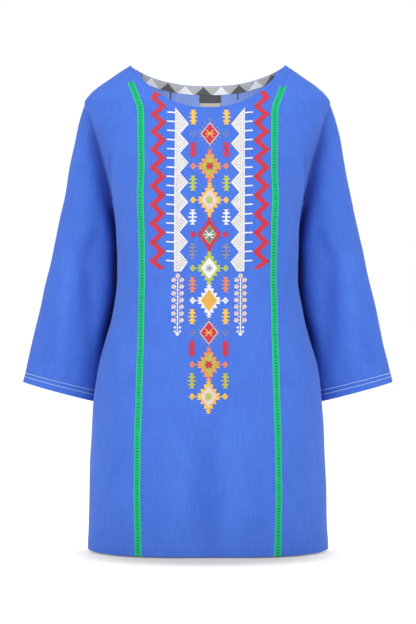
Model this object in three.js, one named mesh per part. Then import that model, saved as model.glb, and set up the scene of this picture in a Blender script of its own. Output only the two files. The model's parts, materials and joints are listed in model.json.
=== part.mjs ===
// Tunic blouse in light woven cotton, worn and filled out: a wide boat neck, a front cut in three
// panels with a ribbon down each panel seam, three-quarter sleeves whose tops run over the
// shoulder to the neck, and a straight hem. Millimetres, +Z up. The front faces -Y and the
// wearer's left is +X. The origin is where the shoulders carry it, midway between the two
// points at which the neck edge crosses the shoulder line.

import * as THREE from "three";

// ---------- Driving dimensions ----------

const bodyLength = 804; // shoulder line to hem
const neckHalfWidth = 129;
const frontNeckDrop = 76;
const backNeckDrop = 29;
const neckRoundness = 2.4; // exponent of both neck curves
const bodyRoundness = 2.4; // exponent of the body's oval: 2 is an ellipse
const clothWall = 1.5;
const seamGap = 0.3;

const shoulderSeamEnd = -7; // height at which the sleeve's point meets the shoulder line
const shoulderCorner = -63; // where the shoulder turns down into the sleeve
const seamMeeting = -82; // where the armhole seam runs into the front panel seam
const neckBlend = -260; // below this height every row of cloth is level

const ribbonWidth = 12;
const ribbonThickness = 0.9;
const layerGap = 0.45; // between a panel and what is sewn on it
const ribbonTop = { left: -40, right: -32 };
const neckTape = { halfLength: 111, height: 13.5, thickness: 0.8, columns: 26, gap: 0.8 };
const labelSize = { width: 36, height: 28, middle: 4, thickness: 0.7 };

// The body, from the shoulder line down: half its width, the y of its side line, and how far
// it stands in front of and behind that line.
const bodySections = [
  { z: 0, half: 129, side: 0, front: 42, back: 36 },
  { z: -9, half: 143.5, side: 0, front: 49, back: 43 },
  { z: -22.5, half: 163, side: 0, front: 57, back: 54 },
  { z: -36, half: 182, side: 0, front: 64, back: 64 },
  { z: -49, half: 196.5, side: -1, front: 70, back: 72 },
  { z: -63, half: 204.8, side: -3, front: 76, back: 78 },
  { z: -84, half: 194.5, side: -7, front: 80, back: 87 },
  { z: -120, half: 184, side: -11, front: 88, back: 99 },
  { z: -173, half: 167.5, side: -13, front: 101, back: 108 },
  { z: -223, half: 157.5, side: -12, front: 113, back: 107 },
  { z: -286, half: 152, side: -8, front: 116, back: 101 },
  { z: -355, half: 150.5, side: -4, front: 115, back: 94 },
  { z: -410, half: 158, side: -2, front: 118, back: 98 },
  { z: -463, half: 172, side: 0, front: 123, back: 107 },
  { z: -510, half: 184, side: 0, front: 127, back: 114 },
  { z: -560, half: 190.5, side: 0, front: 130, back: 119 },
  { z: -640, half: 195, side: 0, front: 135, back: 124 },
  { z: -804, half: 200, side: 0, front: 141, back: 130 },
];

// The sleeve, from the shoulder corner to the cuff, row by row: the x of its outer and inner
// edges, the y of its middle, half its depth, and how steeply the row rises outwards.
const sleeveSections = [
  { z: -63, outer: 204.8, inner: 120, middle: 4, depth: 30, lean: 0 },
  { z: -84, outer: 212.5, inner: 112, middle: 12, depth: 35, lean: 0 },
  { z: -120, outer: 222, inner: 114, middle: 22, depth: 41, lean: 0 },
  { z: -160, outer: 230.5, inner: 122, middle: 31, depth: 44, lean: 0 },
  { z: -200, outer: 237.5, inner: 134, middle: 37, depth: 46, lean: 0 },
  { z: -240, outer: 246, inner: 144, middle: 42, depth: 46, lean: 0 },
  { z: -300, outer: 259, inner: 146, middle: 44, depth: 44, lean: 0.03 },
  { z: -380, outer: 276, inner: 151, middle: 44, depth: 41, lean: 0.1 },
  { z: -460, outer: 293.5, inner: 172, middle: 43, depth: 40, lean: 0.18 },
  { z: -545, outer: 311, inner: 190, middle: 42, depth: 42, lean: 0.27 },
];
const cuffHeight = -545;

// The front panel seam, which the ribbon covers: its x at each height.
const panelSeam = [
  { z: -7, x: 142 },
  { z: -14, x: 135.5 },
  { z: -30, x: 128 },
  { z: -58, x: 117 },
  { z: -78, x: 110.5 },
  { z: -100, x: 109.5 },
  { z: -220, x: 108.5 },
  { z: -320, x: 107 },
  { z: -400, x: 108 },
  { z: -520, x: 111 },
  { z: -700, x: 113.5 },
  { z: -804, x: 111.5 },
];

// The armhole seams, as degrees round the body: 0 is the centre front, 90 the side and 180 the
// centre back. Both go on to the underarm point.
const frontArmhole = [
  { z: -82, turn: 30.5 },
  { z: -87, turn: 34 },
  { z: -94, turn: 40 },
  { z: -104, turn: 48 },
  { z: -119, turn: 54 },
  { z: -134, turn: 58.5 },
  { z: -155, turn: 66 },
  { z: -184, turn: 78 },
];
const backArmhole = [
  { z: -7, turn: 90 },
  { z: -12, turn: 114 },
  { z: -22, turn: 129 },
  { z: -45, turn: 141 },
  { z: -70, turn: 144 },
  { z: -110, turn: 138 },
  { z: -160, turn: 127 },
];

// The largest folds of the body. Each runs from a height and turn to another, fades in and out
// over those heights, and stands out (or in, when negative) by its depth at its deepest.
const bodyFolds = [
  { top: -560, topTurn: 4, bottom: -880, bottomTurn: 5, wide: 11, depth: -6 },
  { top: -520, topTurn: 26, bottom: -900, bottomTurn: 22, wide: 9, depth: 4 },
  { top: -520, topTurn: -24, bottom: -900, bottomTurn: -20, wide: 9, depth: 3.5 },
  { top: -180, topTurn: 38, bottom: -420, bottomTurn: 74, wide: 9, depth: 4 },
  { top: -180, topTurn: -38, bottom: -420, bottomTurn: -74, wide: 9, depth: 4 },
  { top: -480, topTurn: 58, bottom: -920, bottomTurn: 56, wide: 9, depth: -5 },
  { top: -480, topTurn: -58, bottom: -920, bottomTurn: -56, wide: 9, depth: -5 },
  { top: -130, topTurn: 160, bottom: -420, bottomTurn: 128, wide: 10, depth: 5 },
  { top: -130, topTurn: -160, bottom: -420, bottomTurn: -126, wide: 10, depth: 5 },
  { top: -330, topTurn: 178, bottom: -930, bottomTurn: 174, wide: 10, depth: 7 },
  { top: -380, topTurn: 154, bottom: -900, bottomTurn: 150, wide: 9, depth: -6 },
  { top: -400, topTurn: -152, bottom: -920, bottomTurn: -150, wide: 9, depth: -7 },
  { top: -470, topTurn: 124, bottom: -920, bottomTurn: 124, wide: 8, depth: -5 },
  { top: -450, topTurn: -126, bottom: -900, bottomTurn: -122, wide: 8, depth: -6 },
];

// The same for the sleeves, as degrees round the sleeve: 0 is its outer edge, -90 its front
// and 90 its back.
const sleeveFolds = [
  { top: -150, topTurn: -98, bottom: -600, bottomTurn: -112, wide: 20, depth: -4 },
  { top: -260, topTurn: -62, bottom: -640, bottomTurn: -70, wide: 15, depth: 3 },
  { top: -170, topTurn: 84, bottom: -600, bottomTurn: 100, wide: 20, depth: -4 },
  { top: -300, topTurn: 52, bottom: -640, bottomTurn: 58, wide: 14, depth: 3 },
];

// The heights of the rows of cloth from the neck to the underarm, then the number of rows from
// there to the hem and to the cuff, and of columns across each piece.
const upperRows = [0, -3.5, -7, -9, -12, -16, -22, -30, -40, -51, -63, -72, -82, -87, -94, -104, -118, -136, -156, -178, -203];
const lowerRows = { body: 16, sleeve: 12 };
const columnsAcross = { frontCentre: 14, frontSide: 6, back: 24, toCrease: 4, toRidge: 7 };
const creaseShare = { least: 0.2, most: 0.7, plain: 0.36 }; // how far across a sleeve piece its crease column stands

// How finely an outline is drawn before the rows are laid along it.
const stepsPerTurn = 1.2;
const sleeveSteps = 50;
const creaseReach = 18; // either side of a crease, rounded this far
const creasePasses = 4;
const fadeHeight = 30; // the rounding fades out over this height at both ends of a crease
const normalReach = 3;

// ---------- Reading the tables ----------

const degrees = Math.PI / 180;
const tableSlopes = new Map();

// Slopes of a smooth curve that never swings past its table's values.
function slopesOf(table, column) {
  if (!tableSlopes.has(table)) tableSlopes.set(table, {});
  const known = tableSlopes.get(table);
  if (!known[column]) {
    const steps = table.slice(1).map((row, i) => (row[column] - table[i][column]) / (row.z - table[i].z));
    known[column] = table.map((_, i) => {
      if (i === 0 || i === table.length - 1) return steps[Math.min(i, steps.length - 1)];
      if (steps[i - 1] * steps[i] <= 0) return 0;
      return (2 * steps[i - 1] * steps[i]) / (steps[i - 1] + steps[i]);
    });
  }
  return known[column];
}

function read(table, column, z) {
  const last = table.length - 1;
  if (z >= table[0].z) return table[0][column];
  if (z <= table[last].z) return table[last][column];
  let i = 0;
  while (z <= table[i + 1].z) i += 1;
  const [a, b] = [table[i], table[i + 1]];
  const slopes = slopesOf(table, column);
  const span = b.z - a.z;
  const t = (z - a.z) / span;
  const rise = (3 - 2 * t) * t * t;
  return a[column] * (1 - rise) + b[column] * rise + t * (1 - t) * span * ((1 - t) * slopes[i] - t * slopes[i + 1]);
}

// How far the folds move a surface outwards at a height and turn.
function foldAt(folds, z, turn) {
  return folds.reduce((sum, fold) => {
    const along = (fold.top - z) / (fold.top - fold.bottom);
    if (along <= 0 || along >= 1) return sum;
    const middle = fold.topTurn + (fold.bottomTurn - fold.topTurn) * along;
    const off = ((((turn - middle) % 360) + 540) % 360) - 180;
    return sum + fold.depth * Math.sin(Math.PI * along) * Math.exp(-((off / fold.wide) ** 2));
  }, 0);
}

const clamp = (value, low, high) => Math.min(high, Math.max(low, value));
const mix = (a, b, t) => a + (b - a) * t;

// The value between low and high at which a test that holds at low stops holding.
function turningPoint(low, high, holds) {
  for (let i = 0; i < 40; i += 1) {
    const middle = (low + high) / 2;
    if (holds(middle)) low = middle;
    else high = middle;
  }
  return (low + high) / 2;
}

// ---------- The body and the sleeve as ovals at each height ----------

const power = (value, exponent) => Math.abs(value) ** exponent * Math.sign(value);

// The body's oval without its folds, from its side line: x outwards and y backwards.
function bodyOval(z, turn) {
  const along = Math.cos(turn * degrees);
  return {
    x: read(bodySections, "half", z) * power(Math.sin(turn * degrees), 2 / bodyRoundness),
    y: -read(bodySections, along > 0 ? "front" : "back", z) * power(along, 2 / bodyRoundness),
    side: read(bodySections, "side", z),
  };
}

// A point of the body on one side of it, +1 being the wearer's left.
function bodyPoint(side, z, turn) {
  const oval = bodyOval(z, turn);
  const stretch = 1 + foldAt(bodyFolds, z, side * turn) / Math.hypot(oval.x, oval.y);
  return new THREE.Vector3(side * oval.x * stretch, oval.side + oval.y * stretch, z);
}

// The turn at which the front of the body reaches an x.
function frontTurnAt(z, x) {
  const share = Math.min(1, Math.abs(x) / read(bodySections, "half", z));
  return Math.asin(share ** (bodyRoundness / 2)) / degrees;
}

function sleeveOval(z) {
  const [outer, inner] = [read(sleeveSections, "outer", z), read(sleeveSections, "inner", z)];
  return {
    x: (outer + inner) / 2,
    y: read(sleeveSections, "middle", z),
    width: (outer - inner) / 2,
    depth: read(sleeveSections, "depth", z),
    lean: read(sleeveSections, "lean", z),
  };
}

function sleevePoint(side, z, turn) {
  const oval = sleeveOval(z);
  const [x, y] = [oval.width * Math.cos(turn * degrees), oval.depth * Math.sin(turn * degrees)];
  const stretch = 1 + foldAt(sleeveFolds, z, turn) / Math.hypot(x, y);
  return new THREE.Vector3(side * (oval.x + x * stretch), oval.y + y * stretch, z + oval.lean * x * stretch);
}

const sleeveTurnOf = (z, x, y) => {
  const oval = sleeveOval(z);
  return (Math.atan2((y - oval.y) / oval.depth, (x - oval.x) / oval.width) / degrees + 360) % 360;
};

// Below 0 where that point of the body lies inside the sleeve.
function outsideSleeve(z, turn) {
  const [body, sleeve] = [bodyOval(z, turn), sleeveOval(z)];
  return ((body.x - sleeve.x) / sleeve.width) ** 2 + ((body.side + body.y - sleeve.y) / sleeve.depth) ** 2 - 1;
}

// The turn at which the body runs deepest into the sleeve.
function deepestTurn(z) {
  let best = 60;
  for (let turn = 60; turn <= 150; turn += 0.25) if (outsideSleeve(z, turn) < outsideSleeve(z, best)) best = turn;
  return best;
}

// The underarm point: the height at which the body and sleeve part, and where on each.
const underarm = turningPoint(-300, -180, (z) => outsideSleeve(z, deepestTurn(z)) > 0);
const underarmTurn = deepestTurn(underarm);
const underarmOval = bodyOval(underarm, underarmTurn);
const sleeveSeamTurn = sleeveTurnOf(underarm, underarmOval.x, underarmOval.side + underarmOval.y);
frontArmhole.push({ z: underarm, turn: underarmTurn });
backArmhole.push({ z: underarm, turn: underarmTurn });
const sideSeam = [
  { z: underarm, turn: underarmTurn },
  { z: -430, turn: 93 },
  { z: -bodyLength, turn: 90 },
];

// ---------- Outlines at one height ----------

const outlines = new Map();

// The line round the body, with the sleeve joined to it where they meet, on one side of the
// wearer from the centre front to the centre back.
function bodyOutline(side, z) {
  const key = `${side} ${z.toFixed(4)}`;
  if (!outlines.has(key)) outlines.set(key, drawBody(side, z));
  return outlines.get(key);
}

function drawBody(side, z) {
  const joined = z < shoulderCorner && z > underarm;
  const middle = joined ? deepestTurn(z) : 90;
  const into = joined ? turningPoint(0, middle, (turn) => outsideSleeve(z, turn) > 0) : 90;
  const outOf = joined ? turningPoint(middle, 180, (turn) => outsideSleeve(z, turn) <= 0) : 90;
  const points = [];
  const draw = (from, to, steps, pointAt) => {
    for (let i = points.length ? 1 : 0; i <= steps; i += 1) points.push(pointAt(mix(from, to, i / steps)));
    return points.length - 1;
  };
  const onBody = (turn) => bodyPoint(side, z, turn);
  const onSleeve = (turn) => sleevePoint(side, z, turn);
  const meeting = (turn) => {
    const oval = bodyOval(z, turn);
    return sleeveTurnOf(z, oval.x, oval.side + oval.y);
  };
  const frontCrease = draw(0, into, Math.round(into * stepsPerTurn), onBody);
  const ridge = joined ? draw(meeting(into) - 360, 0, sleeveSteps, onSleeve) : frontCrease;
  const backCrease = joined ? draw(0, meeting(outOf), sleeveSteps, onSleeve) : ridge;
  draw(outOf, 180, Math.round((180 - outOf) * stepsPerTurn), onBody);
  if (joined) {
    const fade = Math.min(shoulderCorner - z, z - underarm) / fadeHeight;
    [frontCrease, backCrease].forEach((crease) => soften(points, crease, creaseReach * Math.min(1, fade)));
  }
  // The place along the line of a turn of the body, counted in points.
  const placeOf = (turn) =>
    turn <= middle
      ? (Math.min(turn, into) / into) * frontCrease
      : backCrease + ((Math.max(turn, outOf) - outOf) / (180 - outOf)) * (points.length - 1 - backCrease);
  return measured({ side, points, placeOf, frontCrease, ridge, backCrease });
}

// Rounds the line where the body and sleeve meet, within a reach on both sides.
function soften(points, crease, reach) {
  for (let pass = 0; pass < creasePasses; pass += 1) {
    const line = measured({ points: points.map((point) => point.clone()) });
    points.forEach((point, i) => {
      const length = line.lengths[i];
      const step = (reach - Math.abs(length - line.lengths[crease])) / 2;
      if (step > 0) point.add(pointAlong(line, length - step)).add(pointAlong(line, length + step)).divideScalar(3);
    });
  }
}

// The line round a sleeve below the underarm, from its seam over the front to its seam again.
function sleeveOutline(side, z) {
  const key = `sleeve ${side} ${z.toFixed(4)}`;
  if (!outlines.has(key)) {
    const turns = Array.from({ length: 4 * sleeveSteps + 1 }, (_, i) => i / (2 * sleeveSteps) - 1);
    const points = turns.map((t) => sleevePoint(side, z, t < 0 ? -t * (sleeveSeamTurn - 360) : t * sleeveSeamTurn));
    outlines.set(key, measured({ side, points, ridge: 2 * sleeveSteps }));
  }
  return outlines.get(key);
}

function measured(line) {
  const lengths = [0];
  line.points.slice(1).forEach((point, i) => lengths.push(lengths[i] + point.distanceTo(line.points[i])));
  const lengthAt = (place) => {
    const i = Math.min(Math.floor(place), lengths.length - 2);
    return mix(lengths[i], lengths[i + 1], place - i);
  };
  return { ...line, lengths, lengthAt, total: lengths[lengths.length - 1] };
}

function pointAlong(line, length) {
  let [low, high] = [0, line.lengths.length - 1];
  while (high - low > 1) {
    const middle = (low + high) >> 1;
    if (line.lengths[middle] <= length) low = middle;
    else high = middle;
  }
  const t = (length - line.lengths[low]) / Math.max(1e-9, line.lengths[high] - line.lengths[low]);
  return line.points[low].clone().lerp(line.points[high], t);
}

function nearestTo(line, point) {
  let best = 0;
  let least = Infinity;
  line.points.forEach((candidate, i) => {
    const apart = candidate.distanceToSquared(point);
    if (apart < least) [best, least] = [i, apart];
  });
  const from = Math.max(0, best - 1);
  const to = Math.min(line.points.length - 1, best + 1);
  return new THREE.Line3(line.points[from], line.points[to]).closestPointToPoint(point, true, new THREE.Vector3());
}

// A point of the garment's outer face with the direction out of it. The line comes from an
// outline function, and a length past the centre front or back runs on round the other side.
function spot(outlineOf, side, z, length) {
  const line = outlineOf(side, z);
  const at = (value) => {
    if (value >= 0 && value <= line.total) return pointAlong(line, value);
    const beyond = value < 0 ? -value : value - line.total;
    if (outlineOf === sleeveOutline) return pointAlong(line, value < 0 ? line.total - beyond : beyond);
    const other = outlineOf(-side, z);
    return pointAlong(other, value < 0 ? beyond : other.total - beyond);
  };
  const point = at(length);
  const along = at(length + normalReach).sub(at(length - normalReach));
  const up = nearestTo(outlineOf(side, z + normalReach), point).sub(nearestTo(outlineOf(side, z - normalReach), point));
  return { point, out: along.cross(up).multiplyScalar(side).normalize() };
}

// ---------- Where the seams lie, as lengths along the outline ----------

const ridgeLength = (side, z) => {
  const line = bodyOutline(side, z);
  return line.lengths[line.ridge];
};
const panelLength = (side, z) => {
  if (z >= shoulderSeamEnd) return ridgeLength(side, z);
  const line = bodyOutline(side, z);
  return line.lengthAt(line.placeOf(frontTurnAt(z, read(panelSeam, "x", z))));
};
const turnLength = (table) => (side, z) => {
  const line = bodyOutline(side, z);
  return line.lengthAt(line.placeOf(read(table, "turn", z)));
};
const frontArmholeLength = turnLength(frontArmhole);
const backArmholeLength = (side, z) => (z >= shoulderSeamEnd ? ridgeLength(side, z) : turnLength(backArmhole)(side, z));
const sideSeamLength = turnLength(sideSeam);

// How far a piece is held back from a seam, along its row, to leave the gap between pieces.
function heldBack(outlineOf, lengthOf, side, z) {
  const at = (height) => pointAlong(outlineOf(side, height), lengthOf(side, height));
  const seam = at(z + 1).sub(at(z - 1)).normalize();
  const line = outlineOf(side, z);
  const length = lengthOf(side, z);
  const row = pointAlong(line, Math.min(length + 1, line.total)).sub(pointAlong(line, Math.max(0, length - 1))).normalize();
  return seamGap / 2 / Math.max(0.2, Math.sqrt(1 - seam.dot(row) ** 2));
}

// ---------- Cloth ----------

const evenly = (count, from = 0, to = 1) => Array.from({ length: count + 1 }, (_, i) => mix(from, to, i / count));

// A closed solid from rows of spots, its two faces at the given distances from them. A first
// row of one spot is a tip.
function cloth(name, rows, top, bottom) {
  const columns = rows[1].length;
  const starts = rows.map((row, r) => (r === 0 ? 0 : rows.slice(0, r).reduce((sum, one) => sum + one.length, 0)));
  const count = starts[rows.length - 1] + columns;
  const positions = [top, bottom].flatMap((distance) =>
    rows.flat().flatMap(({ point, out }) => point.clone().addScaledVector(out, distance).toArray()),
  );
  const at = (row, column) => starts[row] + (rows[row].length === 1 ? 0 : column);
  const faces = [];
  const quad = (a, b, c, d) => {
    if (a !== b) faces.push([a, b, c]);
    if (c !== d) faces.push([a, c, d]);
  };
  for (let r = 0; r < rows.length - 1; r += 1) {
    for (let c = 0; c < columns - 1; c += 1) {
      quad(at(r, c), at(r, c + 1), at(r + 1, c + 1), at(r + 1, c));
      const [w, x, y, z] = [at(r, c), at(r, c + 1), at(r + 1, c + 1), at(r + 1, c)].map((i) => i + count);
      quad(z, y, x, w);
    }
    rim(at(r + 1, 0), at(r, 0));
    rim(at(r, columns - 1), at(r + 1, columns - 1));
  }
  for (let c = 0; c < columns - 1; c += 1) {
    if (rows[0].length > 1) rim(at(0, c), at(0, c + 1));
    rim(at(rows.length - 1, c + 1), at(rows.length - 1, c));
  }
  function rim(a, b) {
    faces.push([b, a, a + count], [b, a + count, b + count]);
  }
  const geometry = new THREE.BufferGeometry();
  geometry.setAttribute("position", new THREE.Float32BufferAttribute(positions, 3));
  const facing = volumeOf(positions, faces) > 0 ? faces : faces.map(([a, b, c]) => [a, c, b]);
  geometry.setIndex(facing.flat());
  const mesh = new THREE.Mesh(geometry);
  mesh.name = name;
  return mesh;
}

function volumeOf(positions, faces) {
  const corner = (i) => new THREE.Vector3().fromArray(positions, 3 * i);
  return faces.reduce((sum, [a, b, c]) => sum + corner(a).dot(corner(b).cross(corner(c))), 0) / 6;
}

const bodyRows = [...upperRows, ...evenly(lowerRows.body, underarm, -bodyLength)];
const cuffRows = evenly(lowerRows.sleeve, underarm, cuffHeight).slice(1);

// The height of the neck edge at an x.
const neckHeight = (drop, x) => -drop * Math.max(0, 1 - (Math.abs(x) / neckHalfWidth) ** neckRoundness);

// A panel whose top is the neck edge, spread between the same seam on both sides. Its rows
// follow the neck edge at the top and are level below the blend. The share runs from 0 at the
// middle of the panel to 1 at the seam.
function neckPanel(name, columns, drop, lengthOf, middleOf) {
  const placed = (side, share, z) => {
    const middle = middleOf(side, z);
    const seam = lengthOf(side, z) - Math.sign(lengthOf(side, z) - middle) * heldBack(bodyOutline, lengthOf, side, z);
    return mix(middle, seam, share);
  };
  const tops = new Map();
  const topOf = (side, share) => {
    const key = side * share;
    if (!tops.has(key)) {
      const xAt = (z) => pointAlong(bodyOutline(side, z), placed(side, share, z)).x;
      tops.set(key, turningPoint(0, -drop - 1, (z) => z > neckHeight(drop, xAt(z))));
    }
    return tops.get(key);
  };
  const rows = bodyRows.map((edge) =>
    evenly(columns, -1, 1).map((across) => {
      const side = across < 0 ? -1 : 1;
      const share = Math.abs(across);
      const z = edge + topOf(side, share) * Math.max(0, 1 - edge / neckBlend);
      return spot(bodyOutline, side, z, placed(side, share, z));
    }),
  );
  return cloth(name, rows, 0, -clothWall);
}

// The part of a row between two seams, held back from each, in even columns.
function between(outlineOf, side, z, fromOf, toOf, shares) {
  const from = fromOf(side, z) + heldBack(outlineOf, fromOf, side, z);
  const to = toOf(side, z) - heldBack(outlineOf, toOf, side, z);
  return shares.map((share) => spot(outlineOf, side, z, mix(from, to, share)));
}

function frontSide(side, name) {
  const tipHeight = seamMeeting - seamGap * 2;
  const tip = (panelLength(side, tipHeight) + frontArmholeLength(side, tipHeight)) / 2;
  const shares = evenly(columnsAcross.frontSide);
  const rows = bodyRows
    .filter((z) => z < seamMeeting)
    .map((z) => between(bodyOutline, side, z, panelLength, z > underarm ? frontArmholeLength : sideSeamLength, shares));
  return cloth(name, [[spot(bodyOutline, side, tipHeight, tip)], ...rows], 0, -clothWall);
}

// Shares of the columns from a seam to the ridge, the one at the crease standing where it is.
function creaseShares(crease) {
  const held = clamp(crease, creaseShare.least, creaseShare.most);
  return [...evenly(columnsAcross.toCrease, 0, held), ...evenly(columnsAcross.toRidge, held, 1).slice(1)];
}

// One half of a sleeve, front or back, from its tip at the neck to the cuff.
function sleeveHalf(side, isFront, name) {
  const seamOf = (z) => {
    if (!isFront) return backArmholeLength;
    return z >= seamMeeting ? panelLength : frontArmholeLength;
  };
  const rowOf = (z) => {
    const line = bodyOutline(side, z);
    const [seam, ridge] = [seamOf(z)(side, z), ridgeLength(side, z)];
    const crease = line.lengths[isFront ? line.frontCrease : line.backCrease];
    const shares = creaseShares(z < shoulderCorner ? (crease - seam) / (ridge - seam) : creaseShare.most);
    if (isFront) return between(bodyOutline, side, z, seamOf(z), ridgeLength, shares);
    const turned = shares.map((share) => 1 - share).reverse();
    return between(bodyOutline, side, z, ridgeLength, seamOf(z), turned).reverse();
  };
  const tipHeight = shoulderSeamEnd - seamGap * 2;
  const ridge = ridgeLength(side, tipHeight);
  const tip = spot(bodyOutline, side, tipHeight, ridge + (isFront ? -seamGap : seamGap) / 2);
  const above = upperRows.filter((z) => z < shoulderSeamEnd).map(rowOf);
  const below = [underarm, ...cuffRows].map((z, r) => {
    const ridgeOf = (s, height) => sleeveOutline(s, height).lengths[2 * sleeveSteps];
    const seamEnd = (s, height) => (isFront ? 0 : sleeveOutline(s, height).total);
    const shares = creaseShares(mix(creaseShare.least, creaseShare.plain, Math.min(1, r / 3)));
    if (isFront) return between(sleeveOutline, side, z, seamEnd, ridgeOf, shares);
    const turned = shares.map((share) => 1 - share).reverse();
    return between(sleeveOutline, side, z, ridgeOf, seamEnd, turned).reverse();
  });
  return cloth(name, [[tip], ...above, ...below], 0, -clothWall);
}

// ---------- What is sewn on ----------

function ribbon(side, top, name) {
  const rows = [top, ...bodyRows.filter((z) => z < top - 1)].map((z) => {
    const middle = panelLength(side, z);
    return [-1, 0, 1].map((share) => spot(bodyOutline, side, z, middle + (share * ribbonWidth) / 2));
  });
  return cloth(name, rows, layerGap + ribbonThickness, layerGap);
}

// A spot of the back at an x, a distance down from the neck edge.
function backSpot(x, down) {
  const side = x < 0 ? -1 : 1;
  const z = neckHeight(backNeckDrop, x) - down;
  const line = bodyOutline(side, z);
  const share = Math.min(1, Math.abs(x) / read(bodySections, "half", z));
  const turn = 180 - Math.asin(share ** (bodyRoundness / 2)) / degrees;
  return spot(bodyOutline, side, z, line.lengthAt(line.placeOf(turn)));
}

function insideBack(name, xs, downs, thickness) {
  const rows = downs.map((down) => xs.map((x) => backSpot(x, down)));
  const face = -clothWall - neckTape.gap;
  return cloth(name, rows, face, face - thickness);
}

// ---------- The garment ----------

const garment = new THREE.Group();
garment.name = "tunic_blouse";
const labelEdge = labelSize.width / 2;
garment.add(
  neckPanel("front_centre", columnsAcross.frontCentre, frontNeckDrop, panelLength, () => 0),
  neckPanel("back", columnsAcross.back, backNeckDrop, (side, z) => (z > underarm ? backArmholeLength : sideSeamLength)(side, z), (side, z) => bodyOutline(side, z).total),
  frontSide(1, "front_side_left"),
  frontSide(-1, "front_side_right"),
  sleeveHalf(1, true, "sleeve_left_front"),
  sleeveHalf(1, false, "sleeve_left_back"),
  sleeveHalf(-1, true, "sleeve_right_front"),
  sleeveHalf(-1, false, "sleeve_right_back"),
  ribbon(1, ribbonTop.left, "ribbon_left"),
  ribbon(-1, ribbonTop.right, "ribbon_right"),
  insideBack("neck_tape", evenly(neckTape.columns, -neckTape.halfLength, neckTape.halfLength), [0.6, neckTape.height / 2, neckTape.height], neckTape.thickness),
  insideBack(
    "label",
    evenly(4, labelSize.middle - labelEdge, labelSize.middle + labelEdge),
    evenly(3, neckTape.height + seamGap, neckTape.height + seamGap + labelSize.height),
    labelSize.thickness,
  ),
);

export default garment;
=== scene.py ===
import json
import math

import bmesh
import bpy
import numpy as np
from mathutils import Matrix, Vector
from mathutils.bvhtree import BVHTree
from mathutils.geometry import tessellate_polygon

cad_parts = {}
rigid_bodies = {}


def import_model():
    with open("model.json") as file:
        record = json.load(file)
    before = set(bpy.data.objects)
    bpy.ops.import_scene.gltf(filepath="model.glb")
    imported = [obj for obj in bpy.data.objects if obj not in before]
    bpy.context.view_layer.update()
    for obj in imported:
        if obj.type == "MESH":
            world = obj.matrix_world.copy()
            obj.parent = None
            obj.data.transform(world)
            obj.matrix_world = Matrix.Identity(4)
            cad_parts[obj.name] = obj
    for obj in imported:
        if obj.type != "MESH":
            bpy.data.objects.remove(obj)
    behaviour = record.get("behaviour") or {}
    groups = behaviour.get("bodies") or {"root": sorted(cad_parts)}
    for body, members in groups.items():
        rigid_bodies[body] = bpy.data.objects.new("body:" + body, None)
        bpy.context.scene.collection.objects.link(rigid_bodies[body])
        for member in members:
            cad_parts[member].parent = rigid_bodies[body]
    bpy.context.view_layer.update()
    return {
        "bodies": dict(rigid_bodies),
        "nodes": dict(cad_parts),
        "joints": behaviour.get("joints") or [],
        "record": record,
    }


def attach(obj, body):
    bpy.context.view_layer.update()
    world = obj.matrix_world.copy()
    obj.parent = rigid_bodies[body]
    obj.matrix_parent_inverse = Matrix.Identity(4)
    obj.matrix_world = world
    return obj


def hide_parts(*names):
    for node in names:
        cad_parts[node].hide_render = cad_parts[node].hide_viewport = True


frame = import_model()
bpy.ops.object.select_all(action="DESELECT")
print("frame loaded")

# Every size below is in millimetres; meshes are made in metres at the end.
tunic = {
    "length": 804,
    "neckHalfWidth": 129,
    "frontNeckDrop": 76,
    "backNeckDrop": 29,
    "neckRoundness": 2.4,
    "bodyRoundness": 2.4,
    "shoulderSeamEnd": -7,
    "shoulderCorner": -63,
    "seamMeeting": -82,
    "neckBlend": -260,
    "cuff": -545,
    "thickness": 0.9,
    "edgeRoll": 0.25,  # how far a folded edge bulges past its row
}
bodySections = {
    "z": [0, -9, -22.5, -36, -49, -63, -84, -120, -173, -223, -286, -355, -410, -463, -510, -560, -640, -804],
    "half": [129, 143.5, 163, 182, 196.5, 204.8, 194.5, 184, 167.5]
    + [157.5, 152, 150.5, 158, 172, 184, 190.5, 195, 200],
    "side": [0, 0, 0, 0, -1, -3, -7, -11, -13, -12, -8, -4, -2, 0, 0, 0, 0, 0],
    "front": [42, 49, 57, 64, 70, 76, 80, 88, 101, 113, 116, 115, 118, 123, 127, 130, 135, 141],
    "back": [36, 43, 54, 64, 72, 78, 87, 99, 108, 107, 101, 94, 98, 107, 114, 119, 124, 130],
}
sleeveSections = {
    "z": [-63, -84, -120, -160, -200, -240, -300, -380, -460, -545],
    "outer": [204.8, 212.5, 222, 230.5, 237.5, 246, 259, 276, 293.5, 311],
    "inner": [120, 112, 114, 122, 134, 144, 146, 151, 172, 190],
    "middle": [4, 12, 22, 31, 37, 42, 44, 44, 43, 42],
    "depth": [30, 35, 41, 44, 46, 46, 44, 41, 40, 42],
    "lean": [0, 0, 0, 0, 0, 0, 0.03, 0.1, 0.18, 0.27],
}
panelSeam = {
    "z": [-7, -14, -30, -58, -78, -100, -220, -320, -400, -520, -700, -804],
    "x": [142, 135.5, 128, 117, 110.5, 109.5, 108.5, 107, 108, 111, 113.5, 111.5],
}
frontArmhole = {
    "z": [-82, -87, -94, -104, -119, -134, -155, -184],
    "turn": [30.5, 34, 40, 48, 54, 58.5, 66, 78],
}
backArmhole = {
    "z": [-7, -12, -22, -45, -70, -110, -160],
    "turn": [90, 114, 129, 141, 144, 138, 127],
}
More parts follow.
